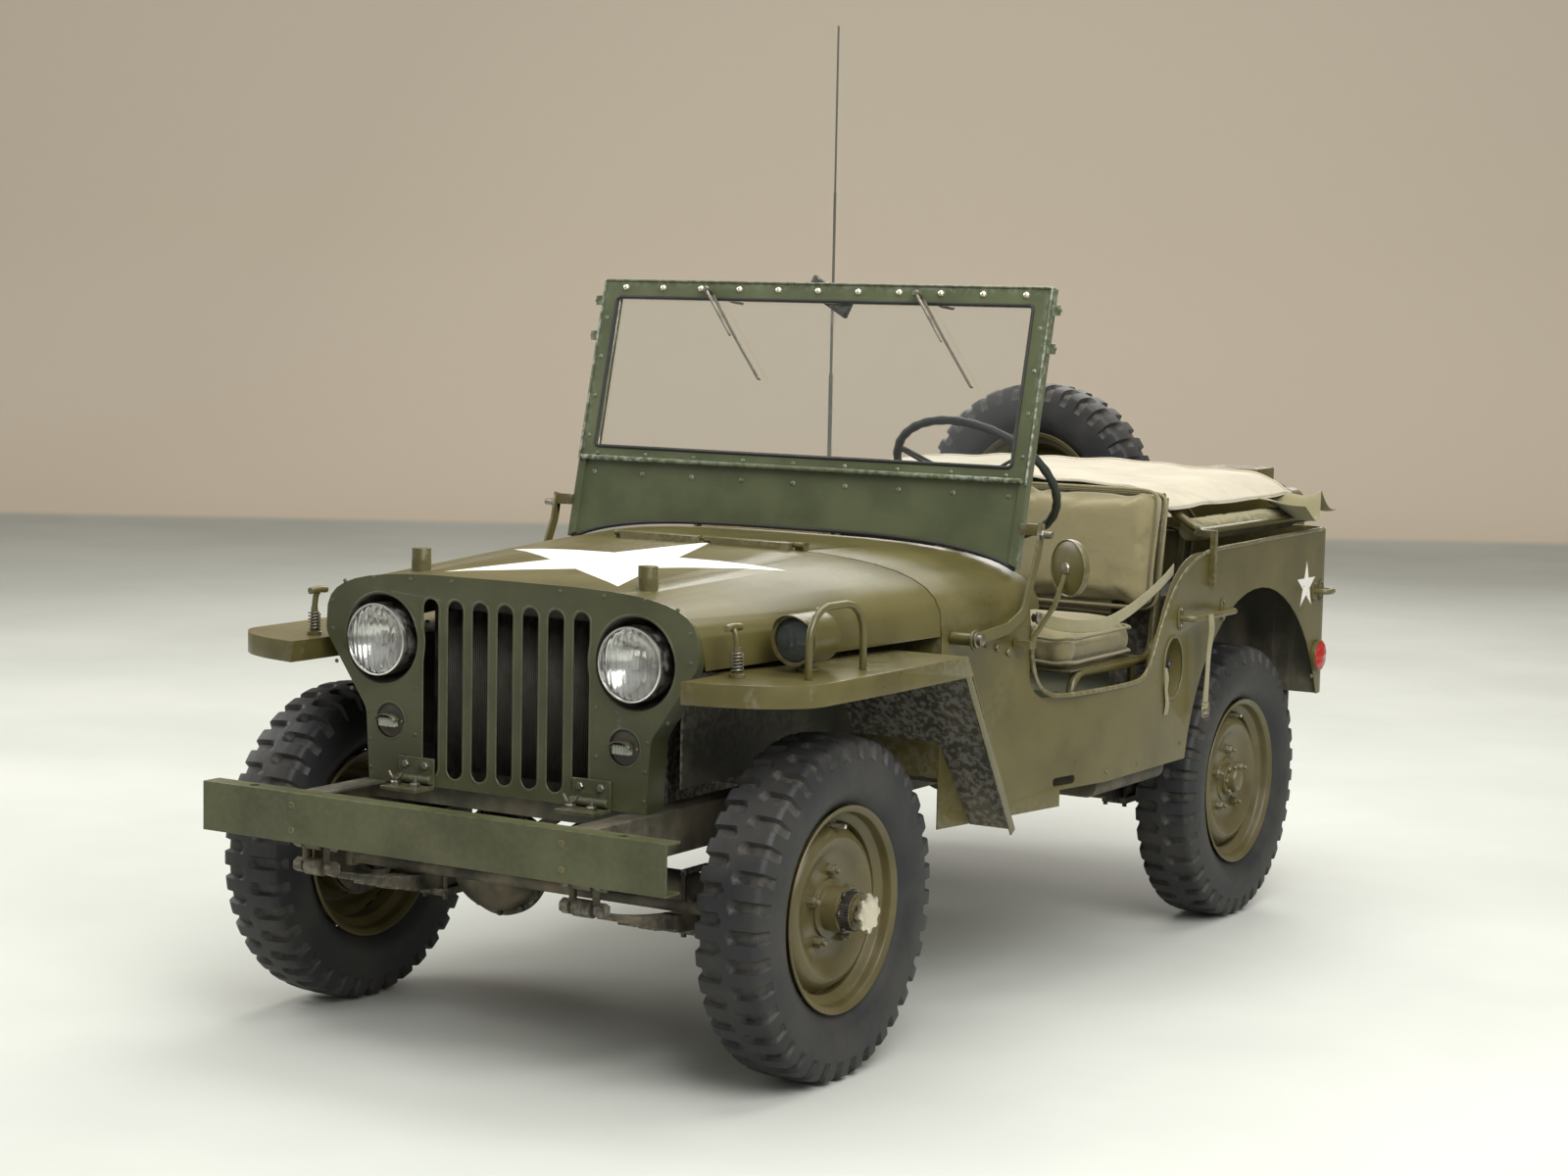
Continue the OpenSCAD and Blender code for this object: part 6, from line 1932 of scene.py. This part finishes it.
    def hanging_strap(self) -> None:
        """Web strap looped over the side handle, with a buckle at its foot."""
        line = self.places.line([(0.772, 1.600, 0.838), (0.774, 1.603, 0.800), (0.766, 1.608, 0.740),
            (0.762, 1.612, 0.680), (0.758, 1.616, 0.625), (0.757, 1.620, 0.585)])
        path = smooth_path(line, 60)
        strap = Shape().ribbon(path, (0, 1, 0), 0.028, 0.0028, 0.001)
        strap.maps[-1] = strap.maps[-1] * [0.28, 0.03]
        strap.build("handle_strap", WEBBING, "car", "seat_canvas", smooth=50)
        x, y, z = path[-1]
        frame = rounded([(x, y - 0.019, z), (x, y - 0.019, z + 0.030), (x, y + 0.019, z + 0.030),
            (x, y + 0.019, z - 0.004), (x, y - 0.019, z - 0.004), (x, y - 0.019, z)], 0.005)
        buckle = Shape().pipe(frame, 0.0026, 10, (1, 0, 0.02))
        buckle.pipe([(x + 0.003, y - 0.018, z + 0.012), (x + 0.003, y + 0.018, z + 0.012)], 0.0022, 8)
        buckle.build("handle_strap_buckle", STEEL, "car", "olive_drab_paint", smooth=50)


@dataclass
class Controls:
    """Steering wheel, column and pedals."""

    places: Places
    radius: float = 0.203

    def build(self) -> None:
        """Builds the controls."""
        dressed("steering_column", BODY, "car", 0.0, smooth=50)
        centre = self.places.at(0.360, 1.127, 1.173)
        axis = np.array([0.0, 1.0, 1.0]) / math.sqrt(2)
        first, second, axis = frame_of(axis)
        a = np.linspace(0, 2 * math.pi, 192, endpoint=False)
        out = np.cos(a)[:, None] * first + np.sin(a)[:, None] * second
        bumps = 0.0102 + 0.0007 * np.cos(30 * a)
        t = np.linspace(0, 2 * math.pi, 14, endpoint=False)[None, :, None]
        rim = centre + self.radius * out[:, None] + bumps[:, None,
            None] * (np.cos(t) * out[:, None] + np.sin(t) * axis)
        piece = Shape().grid(rim, wrap_u=True, wrap_v=True).build("steering_rim", GRIP, "steering_wheel",
            "wheel_grip", smooth=60)
        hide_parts("steering_wheel")
        spokes = Shape()
        for angle in np.array([0, 120, 240]) + 30:
            r = math.radians(angle)
            way = math.cos(r) * first + math.sin(r) * second
            across = np.cross(axis, way)
            for shift in (-0.008, 0.008):
                line = [centre - 0.016 * axis + 0.010 * way + shift * across,
                    centre - 0.014 * axis + 0.09 * way + shift * across,
                    centre + (self.radius - 0.006) * way + 0.7 * shift * across]
                spokes.pipe(smooth_path(line, 20), 0.0042, 10, axis)
        spokes.turned([[-0.034, 0], [-0.034, 0.024], [-0.020, 0.026], [-0.010, 0.0245], [-0.004, 0.020],
            [-0.003, 0]], centre, axis, 36)
        spokes.build("steering_spokes", UNDER, "steering_wheel", "wheel_grip", smooth=50)
        Shape().turned([[-0.004, 0.0], [-0.003, 0.0165], [0.002, 0.015], [0.005, 0.009], [0.006, 0]],
            centre, axis, 30).build(
            "horn_button", BLACK, "steering_wheel", "wheel_grip", smooth=60)
        pedals = Shape()
        for x in (0.28, 0.42, 0.53):
            pedals.pipe(smooth_path([self.places.at(x, 0.560, 0.640), self.places.at(x, 0.600, 0.665),
                self.places.at(x, 0.630, 0.720)], 14), 0.007, 10, (1, 0, 0))
            pad = self.places.at(x, 0.634, 0.735)
            pedals.turned([[-0.004, 0], [-0.004, 0.030], [0.004, 0.030], [0.006, 0.026], [0.006, 0]], pad,
                (0, 0.8, 0.6), 24)
        pedals.build("pedals", DARK, "car", "dark_chassis_paint", bevel=0.001)


@dataclass
class Load:
    """Spare wheel, can, carriers and the tail's fittings."""

    places: Places

    def build(self) -> None:
        """Builds what the tail carries."""
        Tyre("spare_tyre", "car", across=True).build()
        dressed("spare_wheel", WHEEL, "car", 0.0016)
        low, high = (np.array(v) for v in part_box("spare_wheel"))
        centre = (low + high) / 2
        nuts = [centre + [0.083 * math.cos(a), 0.0265, 0.083 * math.sin(a)]
            for a in np.linspace(0, 5.03, 5)]
        Shape().bolts(nuts, (0, 1, 0), 0.013, 0.018).build("spare_nuts", STEEL, "car", "olive_drab_paint")
        dressed("rear_carriers", BODY, "car", 0.0012)
        dressed("rear_bumpers", BODY, "car", 0.002)
        dressed("pintle_hook", UNDER, "car", 0.003)
        self.can()

    def can(self) -> None:
        """Pressed can: rounded box with an X-shaped groove in each face, handles, seam and cap."""
        dressed("jerry_can", BODY, "car", 0.010)
        low, high = (np.array(v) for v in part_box("jerry_can"))
        centre = (low + high) / 2
        top = high[2] - 0.054
        shape = Shape()
        for y in (low[1] - 0.0004, high[1] + 0.0004):
            for k in (-1, 1):
                line = [(centre[0] - k * 0.120, y, low[2] + 0.06),
                    (centre[0] - k * 0.02, y, (low[2] + top) / 2 - 0.02),
                    (centre[0] + k * 0.02, y, (low[2] + top) / 2 + 0.02),
                    (centre[0] + k * 0.120, y, top - 0.06)]
                shape.pipe(smooth_path(line, 24), 0.004, 8, (0, 1, 0))
        seam = rounded([(centre[0], centre[1], low[2] - 0.0), (high[0] + 0.0, centre[1], low[2]),
            (high[0], centre[1], top), (low[0], centre[1], top), (low[0], centre[1], low[2]),
            (centre[0], centre[1], low[2])], 0.045)
        shape.pipe(seam, 0.0042, 8, (0, 1, 0.001))
        cap = [high[0] - 0.060, centre[1], top - 0.004]
        shape.turned([[0, 0], [0, 0.026], [0.016, 0.026], [0.019, 0.023], [0.019, 0]], cap, (0.5, 0, 1), 28)
        shape.build("can_pressings", BODY, "car", "olive_drab_paint", smooth=50)
        strap = Shape()
        y = high[1] + 0.0022
        path = rounded([(low[0] - 0.004, centre[1] - 0.07, centre[2] - 0.02),
            (low[0] - 0.004, y, centre[2] - 0.02), (high[0] + 0.004, y, centre[2] - 0.02),
            (high[0] + 0.004, centre[1] - 0.07, centre[2] - 0.02)], 0.03)
        strap.ribbon(path, (0, 0, 1), 0.030, 0.0028)
        strap.maps[-1] = strap.maps[-1] * [0.6, 0.03]
        strap.build("can_strap", WEBBING, "car", "seat_canvas", smooth=50)


@dataclass
class Running:
    """Frame, axles, springs and what hangs under the car."""

    places: Places

    def build(self) -> None:
        """Builds the running gear."""
        dressed("chassis_frame", UNDER, "car", 0.002)
        for node in ("front_axle", "rear_axle", "leaf_springs", "engine_and_gearbox", "propeller_shafts",
                "exhaust"):
            dressed(node, UNDER, "car", 0.0, smooth=40)
        dressed("fuel_tank", UNDER, "car", 0.004)
        for node, body in {"left_knuckle": "left_knuckle", "right_knuckle": "right_knuckle",
                "tie_rod": "tie_rod"}.items():
            dressed(node, UNDER, body, 0.0012)
        for end in ("front", "rear"):
            for side in Side:
                node = f"{end}_{side.name.lower()}"
                RunningWheel(f"{node}_wheel", f"{node}_wheel", side, end == "front").build()
                Tyre(f"{node}_tyre", f"{node}_wheel").build()
        centre = np.array([-0.190, self.places.front, self.places.hub])
        ring = [centre + [0.116 * math.cos(a), -0.0085, 0.116 * math.sin(a)]
            for a in np.linspace(0, 2 * math.pi, 12, endpoint=False)]
        Shape().bolts(ring, (0, -1, 0), 0.0075, 0.006).build("diff_bolts", DARK, "car",
            "dark_chassis_paint")


# ---- Studio ----


GROUND = ((0.50, 0.52, 0.485), (0.56, 0.58, 0.54))
BACKDROP = (0.80, 0.70, 0.565)
SKY = (0.96, 0.95, 0.92, 1.0)
DAYLIGHT = (1.0, 0.985, 0.955)
# Each lamp's name, place, width and power
LAMPS = (
    ("key", (4.6, -3.6, 5.2), 4.5, 470.0), ("side", (-7.0, -1.2, 4.6), 4.5, 330.0),
    ("top", (0.3, 0.6, 6.2), 5.0, 330.0), ("back", (-2.5, 7.5, 5.5), 5.0, 260.0))


@dataclass
class Studio:
    """Camera, floor, backdrop and lights."""

    places: Places
    eye: tuple[float, float, float] = (3.6758, -5.1002, 1.6114)
    azimuth: float = 31.74
    pitch: float = 5.76
    roll: float = 1.14
    lens: float = 67.58

    def build(self) -> None:
        """Builds the studio."""
        self.camera()
        self.floor()
        self.light()

    def camera(self) -> None:
        """Camera whose axes come from its azimuth, pitch and roll."""
        data = bpy.data.cameras.new("view")
        data.lens, data.sensor_width = self.lens, 36.0
        data.clip_end = 200.0
        a, e, r = (math.radians(v) for v in (self.azimuth, self.pitch, self.roll))
        back = np.array([math.sin(a) * math.cos(e), -math.cos(a) * math.cos(e), math.sin(e)])
        x = unit(np.cross([0, 0, 1.0], back))
        y = np.cross(back, x)
        right, up = math.cos(r) * x + math.sin(r) * y, -math.sin(r) * x + math.cos(r) * y
        camera = bpy.data.objects.new("view", data)
        bpy.context.collection.objects.link(camera)
        place = Matrix(np.stack([right, up, back], -1).tolist()).to_4x4()
        place.translation = self.places.at(*self.eye)
        camera.matrix_world = place
        bpy.context.scene.camera = camera

    def floor(self) -> None:
        """Plain pale floor that curves up into a plain backdrop far behind."""
        bend = np.linspace(0, math.pi / 2, 16)
        away = np.concatenate([np.linspace(-60, 12, 24), 12 + 2.0 * np.sin(bend[1:]), np.full(6, 14.0)])
        high = np.concatenate([np.zeros(24), 2.0 - 2.0 * np.cos(bend[1:]), np.linspace(3, 30, 6)])
        turn = math.radians(self.azimuth)
        way = np.array([-math.sin(turn), math.cos(turn), 0.0])
        side = np.array([math.cos(turn), math.sin(turn), 0.0])
        across = np.linspace(-60, 60, 3)
        points = away[:, None, None] * way + across[None, :, None] * side + high[:, None,
            None] * np.array([0, 0, 1.0])
        mesh = bpy.data.meshes.new("floor")
        n, m = points.shape[:2]
        number = np.arange(n * m).reshape(n, m)
        quads = np.stack([number[:-1, :-1], number[:-1, 1:], number[1:, 1:], number[1:, :-1]],
            -1).reshape(-1, 4)
        mesh.from_pydata(points.reshape(-1, 3).tolist(), [], quads.tolist())
        mesh.shade_smooth()
        floor = bpy.data.objects.new("floor", mesh)
        bpy.context.collection.objects.link(floor)
        g = Graph("floor_surface")
        cloud = g.noise(0.7, 4.0)
        colour = g.mix(cloud.rise(0.3, 0.7), *GROUND)
        colour = g.mix(g.axes()[2].rise(0.02, 0.05), colour, BACKDROP)
        mesh.materials.append(g.surface({"Base Color": colour, "Roughness": 0.62}))

    def light(self) -> None:
        """Soft lamps high on both sides, one behind, and a plain bright world."""
        scene = bpy.context.scene
        world = bpy.data.worlds.new("sky")
        world.use_nodes = True
        scene.world = world
        shade = world.node_tree.nodes["Background"]
        shade.inputs["Color"].default_value = SKY
        shade.inputs["Strength"].default_value = 0.45
        for name, spot, size, power in LAMPS:
            lamp = bpy.data.lights.new(name, "AREA")
            lamp.shape, lamp.size, lamp.energy = "SQUARE", size, power
            lamp.color = DAYLIGHT
            holder = bpy.data.objects.new(name, lamp)
            bpy.context.collection.objects.link(holder)
            back = unit(np.array(spot) - [0, 0, 0.7])
            x = unit(np.cross([0, 0, 1.0], back)) if abs(back[2]) < 0.995 else np.array([1.0, 0, 0])
            place = Matrix(np.stack([x, np.cross(back, x), back], -1).tolist()).to_4x4()
            place.translation = spot
            holder.matrix_world = place
        scene.view_settings.view_transform = "Standard"


def main() -> None:
    """Builds the car's looks in order."""
    logging.basicConfig(level=logging.INFO, format="%(message)s")
    FRAME.update(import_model())
    places = Places().read()
    Studio(places).build()
    Running(places).build()
    Nose(places).build()
    Bonnet(places).build()
    Front(places).build()
    Tub(places).build()
    Windscreen(places).build()
    Controls(places).build()
    Load(places).build()
    Canvas(places).build()
    Seats(places).build()


if __name__ == "__main__":
    main()
